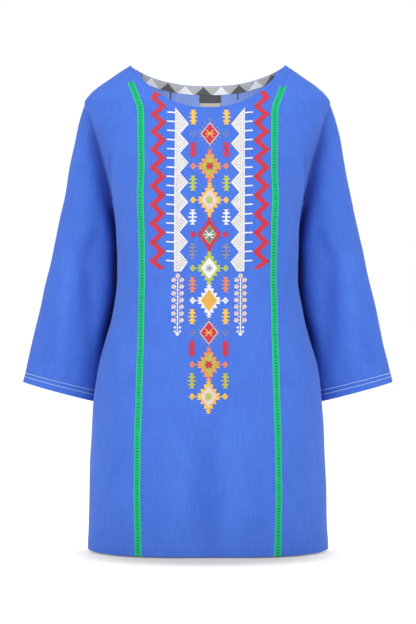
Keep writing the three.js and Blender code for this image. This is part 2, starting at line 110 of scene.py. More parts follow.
bodyFolds = [  # top, its turn, bottom, its turn, width in degrees, depth
    (-560, 4, -880, 5, 11, -6),
    (-520, 26, -900, 22, 9, 4),
    (-520, -24, -900, -20, 9, 3.5),
    (-180, 38, -420, 74, 9, 4),
    (-180, -38, -420, -74, 9, 4),
    (-480, 58, -920, 56, 9, -5),
    (-480, -58, -920, -56, 9, -5),
    (-130, 160, -420, 128, 10, 5),
    (-130, -160, -420, -126, 10, 5),
    (-330, 178, -930, 174, 10, 7),
    (-380, 154, -900, 150, 9, -6),
    (-400, -152, -920, -150, 9, -7),
    (-470, 124, -920, 124, 8, -5),
    (-450, -126, -900, -122, 8, -6),
]
sleeveFolds = [
    (-150, -98, -600, -112, 20, -4),
    (-260, -62, -640, -70, 15, 3),
    (-170, 84, -600, 100, 20, -4),
    (-300, 52, -640, 58, 14, 3),
]
drawing = {"stepsPerTurn": 1.2, "sleeveSteps": 50, "creaseReach": 18, "creasePasses": 4, "fadeHeight": 30}


def bell(distance, wide):
    return np.exp(-((distance / wide) ** 2))


def smoothStep(low, high, value):
    t = np.clip((value - low) / (high - low), 0, 1)
    return t * t * (3 - 2 * t)


def readTable(table, column, z):
    # A smooth curve through a table's rows that never swings past their values.
    heights, values = np.array(table["z"], float), np.array(table[column], float)
    steps = np.diff(values) / np.diff(heights)
    before, after = steps[:-1], steps[1:]
    same = before * after > 0
    inner = np.where(same, 2 * before * after / np.where(same, before + after, 1), 0)
    slopes = np.concatenate(([steps[0]], inner, [steps[-1]]))
    z = np.clip(z, heights[-1], heights[0])
    i = np.clip(np.searchsorted(-heights, -z, side="right") - 1, 0, len(heights) - 2)
    span = heights[i + 1] - heights[i]
    t = (z - heights[i]) / span
    rise = (3 - 2 * t) * t * t
    bend = t * (1 - t) * span * ((1 - t) * slopes[i] - t * slopes[i + 1])
    return values[i] * (1 - rise) + values[i + 1] * rise + bend


def foldAt(folds, z, turn):
    total = 0
    for top, topTurn, bottom, bottomTurn, wide, depth in folds:
        along = np.clip((top - z) / (top - bottom), 0, 1)
        off = (turn - topTurn - (bottomTurn - topTurn) * along + 180) % 360 - 180
        total = total + depth * np.sin(np.pi * along) * bell(off, wide)
    return total


def power(value, exponent):
    return np.abs(value) ** exponent * np.sign(value)


def bodyOval(z, turn):
    along = np.cos(np.radians(turn))
    x = readTable(bodySections, "half", z) * power(np.sin(np.radians(turn)), 2 / tunic["bodyRoundness"])
    deep = np.where(along > 0, readTable(bodySections, "front", z), readTable(bodySections, "back", z))
    return x, -deep * power(along, 2 / tunic["bodyRoundness"]), readTable(bodySections, "side", z)


def bodyPoint(side, z, turn):
    x, y, line = bodyOval(z, turn)
    stretch = 1 + foldAt(bodyFolds, z, side * turn) / np.hypot(x, y)
    return np.stack(np.broadcast_arrays(side * x * stretch, line + y * stretch, z), -1)


def frontTurnAt(z, x):
    share = np.minimum(1, np.abs(x) / readTable(bodySections, "half", z))
    return np.degrees(np.arcsin(share ** (tunic["bodyRoundness"] / 2)))


def sleeveOval(z):
    columns = ("outer", "inner", "middle", "depth", "lean")
    outer, inner, middle, depth, lean = (readTable(sleeveSections, column, z) for column in columns)
    return (outer + inner) / 2, middle, (outer - inner) / 2, depth, lean


def sleevePoint(side, z, turn):
    middleX, middleY, width, depth, lean = sleeveOval(z)
    x, y = width * np.cos(np.radians(turn)), depth * np.sin(np.radians(turn))
    stretch = 1 + foldAt(sleeveFolds, z, turn) / np.hypot(x, y)
    return np.stack([side * (middleX + x * stretch), middleY + y * stretch, z + lean * x * stretch], -1)


def sleeveTurnOf(z, x, y):
    middleX, middleY, width, depth, _ = sleeveOval(z)
    return float(np.degrees(np.arctan2((y - middleY) / depth, (x - middleX) / width)) % 360)


def outsideSleeve(z, turn):
    x, y, line = bodyOval(z, turn)
    middleX, middleY, width, depth, _ = sleeveOval(z)
    return ((x - middleX) / width) ** 2 + ((line + y - middleY) / depth) ** 2 - 1


def deepestTurn(z):
    turns = np.arange(60, 150.1, 0.25)
    return float(turns[np.argmin(outsideSleeve(z, turns))])


def turningPoint(low, high, holds):
    for _ in range(30):
        middle = (low + high) / 2
        low, high = (middle, high) if holds(middle) else (low, middle)
    return (low + high) / 2


def meetingTurn(z, turn):
    x, y, line = bodyOval(z, turn)
    return sleeveTurnOf(z, x, line + y)


underarm = turningPoint(-300, -180, lambda z: outsideSleeve(z, deepestTurn(z)) > 0)
underarmTurn = deepestTurn(underarm)
sleeveSeamTurn = meetingTurn(underarm, underarmTurn)
for armhole in (frontArmhole, backArmhole):
    armhole["z"].append(underarm)
    armhole["turn"].append(underarmTurn)
sideSeam = {"z": [underarm, -430, -tunic["length"]], "turn": [underarmTurn, 93, 90]}


def lengthsOf(points):
    return np.concatenate(([0], np.cumsum(np.linalg.norm(np.diff(points, axis=0), axis=1))))


def sample(line, lengths):
    return np.stack([np.interp(lengths, line["lengths"], line["points"][:, axis]) for axis in range(3)], -1)


def soften(points, crease, reach):
    for _ in range(drawing["creasePasses"]):
        line = {"points": points.copy(), "lengths": lengthsOf(points)}
        step = (reach - np.abs(line["lengths"] - line["lengths"][crease])) / 2
        near = step > 0
        around = sum(sample(line, line["lengths"][near] + way * step[near]) for way in (-1, 1))
        points[near] = (points[near] + around) / 3


meetings = {}


def meetingOf(z):
    # Where the body's line goes into the sleeve and comes out of it, in degrees.
    if z not in meetings:
        middle = deepestTurn(z)
        into = turningPoint(0, middle, lambda turn: outsideSleeve(z, turn) > 0)
        outOf = turningPoint(middle, 180, lambda turn: outsideSleeve(z, turn) <= 0)
        meetings[z] = middle, into, outOf
    return meetings[z]


outlines = {}


def bodyOutline(side, z):
    # The line round one side of the body, sleeve included, from the centre front to the centre back.
    z = round(float(z), 4)
    if (side, z) in outlines:
        return outlines[side, z]
    joined = underarm < z < tunic["shoulderCorner"]
    middle, into, outOf = meetingOf(z) if joined else (90, 90, 90)
    steps = drawing["sleeveSteps"]
    parts = [bodyPoint(side, z, np.linspace(0, into, round(into * drawing["stepsPerTurn"]) + 1))]
    frontCrease = ridge = backCrease = len(parts[0]) - 1
    if joined:
        front, back = meetingTurn(z, into) - 360, meetingTurn(z, outOf)
        for start, end in ((front, 0), (0, back)):
            parts.append(sleevePoint(side, z, np.linspace(start, end, steps + 1)[1:]))
        ridge, backCrease = frontCrease + steps, frontCrease + 2 * steps
    behind = np.linspace(outOf, 180, round((180 - outOf) * drawing["stepsPerTurn"]) + 1)
    parts.append(bodyPoint(side, z, behind[1:]))
    points = np.concatenate(parts)
    if joined:
        fade = min(tunic["shoulderCorner"] - z, z - underarm) / drawing["fadeHeight"]
        for crease in (frontCrease, backCrease):
            soften(points, crease, drawing["creaseReach"] * min(1, fade))
    lengths = lengthsOf(points)
    last = len(points) - 1

    def lengthAt(turn):
        before = np.minimum(turn, into) / into * frontCrease
        after = backCrease + (np.maximum(turn, outOf) - outOf) / (180 - outOf) * (last - backCrease)
        return np.interp(np.where(turn <= middle, before, after), np.arange(last + 1), lengths)

    outlines[side, z] = {"points": points, "lengths": lengths, "lengthAt": lengthAt, "ridge": lengths[ridge]}
    return outlines[side, z]


def sleeveOutline(side, z):
    # The line round a sleeve, from its seam over the front to its seam again.
    shares = np.linspace(-1, 1, 4 * drawing["sleeveSteps"] + 1)
    turns = np.where(shares < 0, -shares * (sleeveSeamTurn - 360), shares * sleeveSeamTurn)
    points = sleevePoint(side, z, turns)
    lengths = lengthsOf(points)
    ridge = lengths[2 * drawing["sleeveSteps"]]
    return {"points": points, "lengths": lengths, "ridge": ridge, "total": lengths[-1]}


def ridgeLength(side, z):
    return bodyOutline(side, z)["ridge"]


def panelLength(side, z):
    if z >= tunic["shoulderSeamEnd"]:
        return ridgeLength(side, z)
    return bodyOutline(side, z)["lengthAt"](frontTurnAt(z, readTable(panelSeam, "x", z)))


def turnLength(table):
    return lambda side, z: bodyOutline(side, z)["lengthAt"](float(readTable(table, "turn", z)))


frontArmholeLength, sideSeamLength = turnLength(frontArmhole), turnLength(sideSeam)


def backArmholeLength(side, z):
    return ridgeLength(side, z) if z >= tunic["shoulderSeamEnd"] else turnLength(backArmhole)(side, z)


def stepped(*stops):
    # Heights from the first stop down: each further stop is (height, step on the way there).
    heights = [stops[0]]
    for end, step in stops[1:]:
        count = max(1, round(abs(end - heights[-1]) / step))
        heights += list(np.linspace(heights[-1], end, count + 1)[1:])
    return np.round(heights, 4)


def eased(count, ends=0.85):
    # Shares from 0 to 1 that crowd towards both ends, where a piece curls into its seams.
    u = np.linspace(0, 1, count + 1)
    return u - ends * np.sin(2 * np.pi * u) / (2 * np.pi)


hemHeight = -tunic["length"]
hemStops = ((hemHeight + 26, 5), (hemHeight + 16, 1.4), (hemHeight + 3, 3.2), (hemHeight, 0.75))
topHeights = stepped(
    tunic["shoulderSeamEnd"] - 1,
    (-12, 1),
    (-60, 2),
    (tunic["seamMeeting"] - 1, 1.5),
    (-92, 1.5),
    (underarm + 3, 3),
    (underarm + 0.3, 0.9),
)
lowHeights = stepped(underarm - 0.3, (underarm - 3, 0.9), (-410, 3.5), *hemStops)
bodyLevels = np.concatenate([np.linspace(0, -7, 6), topHeights, lowHeights])
netTurns = np.arange(0, 180.1, 0.5)


def neckHeight(drop, x):
    return -drop * np.maximum(0, 1 - (np.abs(x) / tunic["neckHalfWidth"]) ** tunic["neckRoundness"])


def heightsOf(lowest, highest, holds, count=26):
    # The heights, one for each column, where holds stops being true on the way up.
    low, high = np.broadcast_arrays(np.asarray(lowest, float), np.asarray(highest, float))
    for _ in range(count):
        middle = (low + high) / 2
        below = holds(middle)
        low, high = np.where(below, middle, low), np.where(below, high, middle)
    return (low + high) / 2


def widthAt(z, turn):
    share = np.abs(np.sin(np.radians(turn))) ** (2 / tunic["bodyRoundness"])
    return readTable(bodySections, "half", z) * share


bodyNets = {}
for side in (-1, 1):
    levelLines = [bodyOutline(side, z) for z in bodyLevels]
    bodyNets[side] = np.array([sample(line, line["lengthAt"](netTurns)) for line in levelLines])


def onBody(side, z, turn):
    row = np.interp(-z, -bodyLevels, np.arange(len(bodyLevels)))
    column = np.clip(turn, 0, 180) * 2
    i = np.minimum(row.astype(int), len(bodyLevels) - 2)
    j = np.minimum(column.astype(int), len(netTurns) - 2)
    down, across = (row - i)[:, None], (column - j)[:, None]
    net = bodyNets[side]
    upper = net[i, j] * (1 - across) + net[i, j + 1] * across
    return upper * (1 - down) + (net[i + 1, j] * (1 - across) + net[i + 1, j + 1] * across) * down


def frontEdgeTurn(z):
    onRidge = z >= tunic["shoulderSeamEnd"]
    return np.where(onRidge, 90, frontTurnAt(z, readTable(panelSeam, "x", z)))


def backEdgeTurn(z):
    lower = np.where(z > underarm, readTable(backArmhole, "turn", z), readTable(sideSeam, "turn", z))
    return np.where(z >= tunic["shoulderSeamEnd"], 90, lower)


def neckPanel(columns, drop, middleTurn, edgeTurn):
    # Rows follow the neck edge at the top and are level below the blend.
    across = 2 * eased(columns) - 1
    edges = stepped(0, (-1, 0.5), (-6, 1), (-16, 0.6), (-24, 1.6), (-60, 3), (-400, 4), *hemStops)
    grid = np.empty((len(edges), columns + 1, 3))
    for row, edge in zip(grid, edges):
        keep = max(0, 1 - edge / tunic["neckBlend"])
        lowest = edge - drop * keep - 1
        rowHeight = lambda z, turn: edge + keep * neckHeight(drop, widthAt(z, turn))
        seam = heightsOf([lowest], [edge], lambda z: z < rowHeight(z, edgeTurn(z)))
        turn = middleTurn + (float(edgeTurn(seam)[0]) - middleTurn) * np.abs(across)
        z = heightsOf(lowest, np.full(columns + 1, edge), lambda z: z < rowHeight(z, turn))
        for side, pick in ((-1, across < 0), (1, across >= 0)):
            row[pick] = onBody(side, z[pick], turn[pick])
    return grid


def between(side, heights, fromOf, toOf, shares, outlineOf=bodyOutline):
    rows = []
    for z in heights:
        start, end = fromOf(side, z), toOf(side, z)
        rows.append(sample(outlineOf(side, z), start + (end - start) * shares))
    return np.array(rows)


def frontSidePanel(side, columns):
    heights = np.concatenate([topHeights[topHeights < tunic["seamMeeting"] - 0.5], lowHeights])
    outer = lambda s, z: (frontArmholeLength if z > underarm else sideSeamLength)(s, z)
    return between(side, heights, panelLength, outer, eased(columns))


def sleeveHalf(side, isFront, columns):
    cuff = tunic["cuff"]
    lower = stepped(underarm, (cuff + 24, 4), (cuff + 7, 1), (cuff + 2, 2), (cuff, 0.7))
    frontSeam = lambda s, z: (panelLength if z >= tunic["seamMeeting"] else frontArmholeLength)(s, z)
    ridge = lambda s, z: sleeveOutline(s, z)["ridge"]
    total = lambda s, z: sleeveOutline(s, z)["total"]
    shares = eased(columns)
    if isFront:
        top = between(side, topHeights, frontSeam, ridgeLength, shares)
        low = between(side, lower, lambda s, z: 0, ridge, shares, sleeveOutline)
    else:
        top = between(side, topHeights, ridgeLength, backArmholeLength, shares)
        low = between(side, lower, ridge, total, shares, sleeveOutline)
    return np.concatenate([top, low])


def normalsOf(grid):
    down, across = np.gradient(grid, axis=0), np.gradient(grid, axis=1)
    normals = np.cross(across, down)
    size = np.linalg.norm(normals, axis=2, keepdims=True)
    return normals / np.maximum(size, 1e-9)


def facingOut(grid, centre):
    normals = normalsOf(grid)
    away = grid[len(grid) // 2, grid.shape[1] // 2] - np.array(centre)
    way = 1 if np.dot(normals[len(grid) // 2, grid.shape[1] // 2], away) > 0 else -1
    return normals * way


# Finer creases of the worn cloth: x and height of both ends, half width, depth
# (negative is a trough) and how far the middle bows sideways.
creases = {
    "bodyFront": [
        (4, -570, 12, -850, 17, -2.5, 3),
        (-18, -590, -13, -800, 12, -1.2, -2),
        (38, -560, 48, -840, 18, 1.6, 4),
        (-46, -590, -58, -840, 18, 1.4, -3),
        (84, -640, 92, -812, 12, -0.7, 2),
        (-86, -560, -80, -800, 14, -0.7, 0),
        (122, -655, 152, -742, 5, -1.6, 5),
        (124, -690, 166, -788, 6, 1.2, 4),
        (118, -600, 172, -700, 9, -0.8, -6),
        (-122, -610, -166, -716, 8, -1.3, 6),
        (-120, -668, -148, -776, 7, 0.7, -3),
        (146, -262, 120, -420, 12, -1.2, -5),
        (-148, -256, -120, -402, 13, -1.3, 6),
        (150, -330, 136, -520, 9, 0.9, 4),
        (-150, -316, -138, -540, 10, 0.9, -5),
        (118, -130, 108, -236, 8, -0.7, 3),
        (-116, -124, -106, -224, 8, -0.7, -2),
        (60, -96, 88, -210, 12, -0.6, 4),
        (-62, -98, -90, -196, 12, -0.6, -4),
        (180, -560, 176, -800, 10, 1.0, 2),
        (-178, -540, -184, -790, 11, 0.9, -2),
    ],
    "bodyBack": [
        (10, -96, 18, -330, 20, -2.2, 5),
        (-34, -110, -52, -300, 16, -1.8, -4),
        (146, -252, 96, -410, 12, -2.6, 6),
        (-148, -250, -88, -396, 13, -2.4, -7),
        (132, -300, 70, -452, 9, 1.8, -5),
        (-136, -306, -82, -470, 10, 1.9, 5),
        (60, -470, 74, -820, 14, -2.1, 4),
        (-66, -450, -80, -810, 15, -1.9, -3),
        (112, -540, 126, -815, 11, 1.6, 3),
        (-118, -560, -128, -800, 12, 1.8, 0),
        (20, -560, 26, -815, 12, 1.6, -4),
        (88, -60, 126, -170, 10, -1.6, 4),
        (-92, -62, -122, -186, 11, -1.6, -4),
        (168, -520, 172, -790, 9, -1.4, 2),
        (-170, -500, -176, -800, 9, -1.4, -2),
    ],
    "sleeveFront": [
        (203, -70, 157, -250, 4, -2.9, 0),
        (-203, -70, -157, -250, 4, -2.9, 0),
        (213, -72, 166, -256, 12, -2.0, 2),
        (-213, -72, -166, -256, 12, -2.0, -2),
        (194, -70, 152, -230, 6, 0.6, 0),
        (-194, -70, -152, -230, 6, 0.6, 0),
        (212, -300, 202, -530, 11, -3.2, 4),
        (-208, -290, -198, -520, 10, -3.2, -4),
        (234, -290, 244, -520, 14, 1.8, 3),
        (-230, -300, -246, -530, 13, 1.8, -3),
        (178, -262, 206, -350, 8, -1.8, -4),
        (-176, -258, -202, -336, 8, -1.8, 4),
        (262, -420, 284, -550, 10, -1.5, 2),
        (-258, -400, -276, -540, 11, -1.5, -2),
        (196, -120, 212, -236, 9, -0.9, 3),
        (-192, -118, -210, -222, 10, -0.9, -4),
        (156, -78, 196, -112, 7, -0.9, 4),
        (-154, -80, -190, -118, 7, -0.9, -4),
        (206, -470, 222, -556, 7, 0.8, 0),
        (-214, -476, -228, -560, 8, 0.8, 0),
    ],
    "sleeveBack": [
        (228, -200, 236, -420, 12, -2.4, 6),
        (-226, -190, -238, -400, 13, -2.5, -6),
        (196, -300, 214, -470, 9, 1.9, -4),
        (-198, -310, -220, -490, 9, 1.9, 4),
        (252, -360, 268, -530, 10, -1.9, 3),
        (-250, -350, -262, -540, 11, -1.7, -3),
        (184, -262, 208, -330, 7, -2.2, 4),
        (-182, -258, -206, -322, 7, -2.2, -4),
        (150, -90, 202, -140, 8, -1.7, 5),
        (-152, -88, -198, -146, 8, -1.7, -5),
    ],
}
ripple = {"height": 0.22, "lengths": (61, 43, 97, 29), "seed": 7}


def creaseAt(rows, points):
    total = np.zeros(points.shape[:-1])
    for x0, z0, x1, z1, wide, depth, bow in rows:
        way = np.array([x1 - x0, z1 - z0], float)
        long = np.hypot(*way)
        way /= long
        x, z = points[..., 0] - x0, points[..., 2] - z0
        along = np.clip((x * way[0] + z * way[1]) / long, 0, 1)
        off = x * way[1] - z * way[0] - bow * 4 * along * (1 - along)
        total += depth * np.sin(np.pi * along) * bell(off, wide)
    return total


rippleWaves = []
rippleDice = np.random.default_rng(ripple["seed"])
for rippleLength in ripple["lengths"]:
    for _ in range(3):
        heading = rippleDice.normal(size=3) * (1, 1, 0.45)
        heading /= np.linalg.norm(heading)
        phase = rippleDice.uniform(0, 2 * np.pi)
        height = ripple["height"] * rippleLength / max(ripple["lengths"])
        rippleWaves.append((heading * 2 * np.pi / rippleLength, phase, height))


hemDip = {"drop": 2.4, "from": -640}  # the front hem hangs a little lower than the sides


def creaseOffset(grid, normals, kind):
    facing = -normals[..., 1]
    front = smoothStep(0.05, 0.4, facing) * creaseAt(creases[kind + "Front"], grid)
    return front + smoothStep(0.05, 0.4, -facing) * creaseAt(creases[kind + "Back"], grid)


def draped(grid, normals, kind, seamFade=1.0):
    # The cloth's outer face: the smooth form moved out and in by its creases.
    offset = creaseOffset(grid, normals, kind)
    for wave, phase, height in rippleWaves:
        offset += height * np.sin(grid @ wave + phase)
    moved = grid + normals * (offset * seamFade)[..., None]
    if kind == "body":
        low = smoothStep(hemDip["from"], hemHeight, grid[..., 2])
        moved[..., 2] -= hemDip["drop"] * low * smoothStep(0.2, 0.8, -normals[..., 1])
    return moved


def edgeLengths(grid):
    # How far each point lies from its row's two ends and its column's two ends.
    across = np.linalg.norm(np.diff(grid, axis=1), axis=2)
    down = np.linalg.norm(np.diff(grid, axis=0), axis=2)
    left = np.concatenate([np.zeros((len(grid), 1)), np.cumsum(across, axis=1)], axis=1)
    top = np.concatenate([np.zeros((1, grid.shape[1])), np.cumsum(down, axis=0)], axis=0)
    return left, left[:, -1:] - left, top, top[-1:] - top


def valley(distance, wide, depth):
    return -depth * bell(distance, wide)


def quadsOf(index):
    # The four corners of each face of a grid, from its table of point numbers.
    corners = (index[:-1, :-1], index[:-1, 1:], index[1:, 1:], index[1:, :-1])
    return np.stack([corner.ravel() for corner in corners], -1)


def ringOf(table):
    # A grid's outer edge, once round.
    return np.concatenate([table[0, :-1], table[:-1, -1], table[-1, :0:-1], table[:0:-1, 0]])


def newObject(name, points, faces, uvs=None, materials=(), materialOf=None, smooth=True):
    mesh = bpy.data.meshes.new(name)
    mesh.from_pydata((np.asarray(points, float) * 0.001).tolist(), [], faces)
    if uvs is not None:
        layer = mesh.uv_layers.new(name="UVMap")
        corners = np.empty(len(mesh.loops), int)
        mesh.loops.foreach_get("vertex_index", corners)
        layer.data.foreach_set("uv", (np.asarray(uvs, float) * 0.001)[corners].ravel())
    for material in materials:
        mesh.materials.append(material)
    if materialOf is not None:
        mesh.polygons.foreach_set("material_index", np.asarray(materialOf, int))
    mesh.polygons.foreach_set("use_smooth", np.full(len(mesh.polygons), smooth))
    mesh.update()
    made = bpy.data.objects.new(name, mesh)
    bpy.context.scene.collection.objects.link(made)
    return made


def shell(name, grid, normals, thickness, uvs, materials, roll):
    # A closed thin wall under a grid of points, with its edges rolled like a folded hem.
    rows, columns = grid.shape[:2]
    count = rows * columns
    index = np.arange(count).reshape(rows, columns)
    outer = quadsOf(index)
    ring = ringOf(index)
    inwards = np.concatenate([index[1, :-1], index[:-1, -2], index[-2, :0:-1], index[:0:-1, 1]])
    flat, out = grid.reshape(-1, 3), normals.reshape(-1, 3)
    edge = flat[ring] - flat[inwards]
    edge /= np.maximum(np.linalg.norm(edge, axis=1, keepdims=True), 1e-6)
    middle = flat[ring] - out[ring] * thickness / 2 + edge * roll
    points = np.concatenate([flat, flat - out * thickness, middle])
    rim = np.arange(len(ring)) + 2 * count
    after = np.roll(np.arange(len(ring)), -1)
    upper = np.stack([ring[after], ring, rim, rim[after]], -1)
    lower = np.stack([rim[after], rim, ring + count, ring[after] + count], -1)
    faces = np.concatenate([outer, outer[:, ::-1] + count, upper, lower])
    corner = points[outer]
    facing = np.cross(corner[:, 1] - corner[:, 0], corner[:, 3] - corner[:, 0])
    if np.sum(facing * out[outer[:, 0]]) < 0:
        faces = faces[:, ::-1]
    spread = uvs.reshape(-1, 2)
    allUvs = np.concatenate([spread, spread, spread[ring]])
    inside = np.zeros(len(faces), int)
    inside[len(outer) : 2 * len(outer)] = min(1, len(materials) - 1)
    return newObject(name, points, faces.tolist(), allUvs, materials, inside)


class Wire:
    # One output of a node; arithmetic on it adds Math nodes.
    def __init__(self, paint, socket):
        self.paint, self.socket = paint, socket

    def maths(self, operation, *others):
        return self.paint.node("ShaderNodeMath", {"operation": operation}, dict(enumerate((self, *others))))

    def reflected(self, operation, other):
        return self.paint.node("ShaderNodeMath", {"operation": operation}, {0: other, 1: self})

    def __add__(self, other):
        return self.maths("ADD", other)

    def __sub__(self, other):
        return self.maths("SUBTRACT", other)

    def __mul__(self, other):
        return self.maths("MULTIPLY", other)

    def __truediv__(self, other):
        return self.maths("DIVIDE", other)

    def __rsub__(self, other):
        return self.reflected("SUBTRACT", other)

    __radd__, __rmul__ = __add__, __mul__


class Paint:
    # A material built node by node round one Principled shader.
    def __init__(self, name, **fixed):
        self.material = bpy.data.materials.new(name)
        self.material.use_nodes = True
        self.tree = self.material.node_tree
        self.shader = self.tree.nodes["Principled BSDF"]
        for socket, value in fixed.items():
            self.shader.inputs[socket].default_value = value

    def node(self, kind, settings=None, values=None, output=0):
        made = self.tree.nodes.new(kind)
        for key, value in (settings or {}).items():
            if key == "stops":
                ramp = made.color_ramp
                while len(ramp.elements) < len(value):
                    ramp.elements.new(0.5)
                for element, (place, colour) in zip(ramp.elements, value):
                    element.position, element.color = place, colour
            else:
                setattr(made, key, value)
        for key, value in (values or {}).items():
            self.put(made.inputs[key], value)
        return Wire(self, made.outputs[output])

    def put(self, socket, value):
        if isinstance(value, Wire):
            self.tree.links.new(value.socket, socket)
        else:
            socket.default_value = value

    def set(self, socket, value):
        self.put(self.shader.inputs[socket], value)

    def uv(self):
        place = self.node("ShaderNodeUVMap", {"uv_map": "UVMap"})
        parts = self.node("ShaderNodeSeparateXYZ", values={0: place})
        return parts, Wire(self, parts.socket.node.outputs[1])

    def noise(self, u, v, scaleU, scaleV, detail=3.0, roughness=0.55):
        place = self.node("ShaderNodeCombineXYZ", values={0: u * scaleU, 1: v * scaleV})
        values = {"Vector": place, "Scale": 1.0, "Detail": detail, "Roughness": roughness}
        return self.node("ShaderNodeTexNoise", {"noise_dimensions": "2D"}, values)

    def mix(self, factor, first, second, blend="MIX"):
        # A Mix node set to colour has its two colours in inputs 6 and 7, and its result in output 2.
        settings = {"data_type": "RGBA", "blend_type": blend, "clamp_factor": True}
        return self.node("ShaderNodeMix", settings, {0: factor, 6: first, 7: second}, output=2)

    def bump(self, height, strength=1.0):
        values = {"Strength": strength, "Distance": 1.0, "Height": height}
        self.set("Normal", self.node("ShaderNodeBump", values=values))


def rgb(red, green, blue):
    # sRGB in 0 to 255 to the linear colour that a shader takes.
    linear = [((c / 255 + 0.055) / 1.055) ** 2.4 if c > 10 else c / 255 / 12.92 for c in (red, green, blue)]
    return (*linear, 1.0)


cottonFinish = {
    "thread": 0.00048,  # metres between neighbouring threads
    "outside": {"dark": rgb(54, 93, 187), "light": rgb(70, 112, 207)},
    # the inside is paler as the cloth's reverse, and lighter still as painted light where the inside lies in
    # shade
    "inside": {"dark": rgb(120, 146, 214), "light": rgb(148, 172, 228)},
    "shader": {
        "Roughness": 0.82,
        "Specular IOR Level": 0.22,
        "Sheen Weight": 0.1,
        "Sheen Roughness": 0.45,
        "Sheen Tint": (0.75, 0.85, 1, 1),
    },
}
shading = {  # painted shade in the cloth's colour: darker in its hollows and creases, a little lighter on ridges as painted highlight
    # painted shade per millimetre of trough, painted highlight per millimetre of ridge
    "perMillimetre": 0.05,
    # the deepest painted shade, where the sleeve lies beside the body
    "hollow": 0.955,
    "reach": 12.5,
    # share of painted shade beside the armhole seam at the back of the sleeve
    "behind": 0.8,
    # painted shade on the body beside its seams with the sleeves
    "body": {"reach": 4.5, "depth": 0.6},
    # a broad faint painted shade round the drag fold
    "soft": {"reach": 15, "depth": 0.2},
    # cap of the painted highlight on ridges
    "lightest": 1.06,
    "tint": (1.6, 1.3, 0.74),  # powers for red, green and blue that keep the painted shade a deep blue
}
dragFoldShade = {  # painted shade beside the fold from the shoulder's corner to the underarm
    "z": [-66, -92, -125, -160, -192, -230, -290],
    "deep": [0, 0.36, 0.45, 0.55, 0.67, 0.82, 0.93],
    "flat": [0, 0, 5, 9, 8, 6, 1],
    "wide": [3, 6, 10, 8.5, 14, 13.5, 12.5],
}


def cottonPaint(name, colours):
    paint = Paint(name, **cottonFinish["shader"])
    u, v = paint.uv()
    slub = paint.noise(u, v, 420, 26, 3)  # long threads that are a little thicker
    weft = paint.noise(u, v, 30, 460, 2)
    cloud = paint.noise(u, v, 22, 14, 3)
    fleck = paint.noise(u, v, 900, 500, 2)
    tone = (slub - 0.5) * 0.9 + (weft - 0.5) * 0.45 + (cloud - 0.5) * 0.55 + (fleck - 0.5) * 0.5 + 0.5
    # the painted shade stored on the cloth's points multiplies its colour, taking blue down least
    shade = paint.node("ShaderNodeAttribute", {"attribute_name": "shade"}, output=2)
    tints = [shade.maths("POWER", power) for power in shading["tint"]]
    hollow = paint.node("ShaderNodeCombineXYZ", values=dict(enumerate(tints)))
    plain = paint.mix(tone, colours["dark"], colours["light"])
    paint.set("Base Color", paint.mix(1.0, plain, hollow, "MULTIPLY"))
    turn = 2 * math.pi / cottonFinish["thread"]
    weave = (u * turn).maths("SINE") * (v * turn).maths("SINE")
    crumple = paint.noise(u, v, 34, 26, 2)
    paint.bump(weave * 0.00003 + slub * 0.00012 + weft * 0.00006 + crumple * 0.0007, 0.8)
    return paint.material


cottonOutside = cottonPaint("blueCotton", cottonFinish["outside"])
# the reverse cloth, partly its own paler colour and partly painted light
cottonInside = cottonPaint("blueCottonReverse", cottonFinish["inside"])


def clothUvs(grid):
    # Lengths across from the middle column and down from the top row.
    left, _, top, _ = edgeLengths(grid)
    middle = left[:, grid.shape[1] // 2]
    return np.stack([left - middle[:, None], -top], -1)


def shadeOf(grid, normals, kind, seamDistance):
    # Painted shade in the cloth's colour: 1 in the open, less in hollows, creases and beside the arms, a
    # little over 1 on ridges as painted highlight.
    # painted shade in crease troughs and painted highlight on ridges, by each crease's depth
    tone = 1 + shading["perMillimetre"] * creaseOffset(grid, normals, kind)
    z, facing = grid[..., 2], -normals[..., 1]
    if kind == "sleeve":
        past = np.abs(grid[..., 0]) - readTable(bodySections, "half", z) - 1
        # painted shade where the sleeve hangs beside the body, below the underarm
        lower = bell(np.maximum(0, past), shading["reach"]) * smoothStep(underarm + 12, underarm - 50, z)
        lower = lower * (1 - smoothStep(-430, -540, z))
        # painted shade beside the armhole seam, on the back of the sleeve
        upper = shading["behind"] * bell(seamDistance, shading["reach"]) * smoothStep(-120, -205, z)
        upper = upper * (z > underarm)
        seen = 0.55 + 0.45 * smoothStep(-0.3, 0.3, facing)
        front = smoothStep(-0.1, 0.25, facing)
        # painted shade beside the drag fold on the sleeve's front, and a broad faint painted shade round its
        # upper part
        deep, flat, wide = (readTable(dragFoldShade, column, z) for column in ("deep", "flat", "wide"))
        oneSided = np.where(z > underarm, smoothStep(-0.5, 2.5, past), 1)
        fold = deep * bell(np.maximum(0, past - flat), wide) * oneSided * (1 - smoothStep(-290, -310, z))
        soft = shading["soft"]["depth"] * bell(past, shading["soft"]["reach"]) * smoothStep(-85, -125, z)
        fold = np.maximum(fold, soft * (1 - smoothStep(-175, -215, z)))
        # the darkest of these painted shades darkens the cloth's colour
        plain = shading["hollow"] * seen * np.maximum(lower, upper * (1 - front))
        tone = tone * (1 - np.maximum(plain, fold * front))
    elif seamDistance is not None:
        # painted shade on the body's cloth beside its seams with the sleeves
        beside = bell(seamDistance, shading["body"]["reach"]) * smoothStep(-130, -200, z)
        tone = tone * (1 - shading["body"]["depth"] * beside * (1 - smoothStep(-430, -500, z)))
    # no darker than the deepest painted shade, no lighter than the painted highlight's cap
    return np.clip(tone, 1 - shading["hollow"], shading["lightest"])


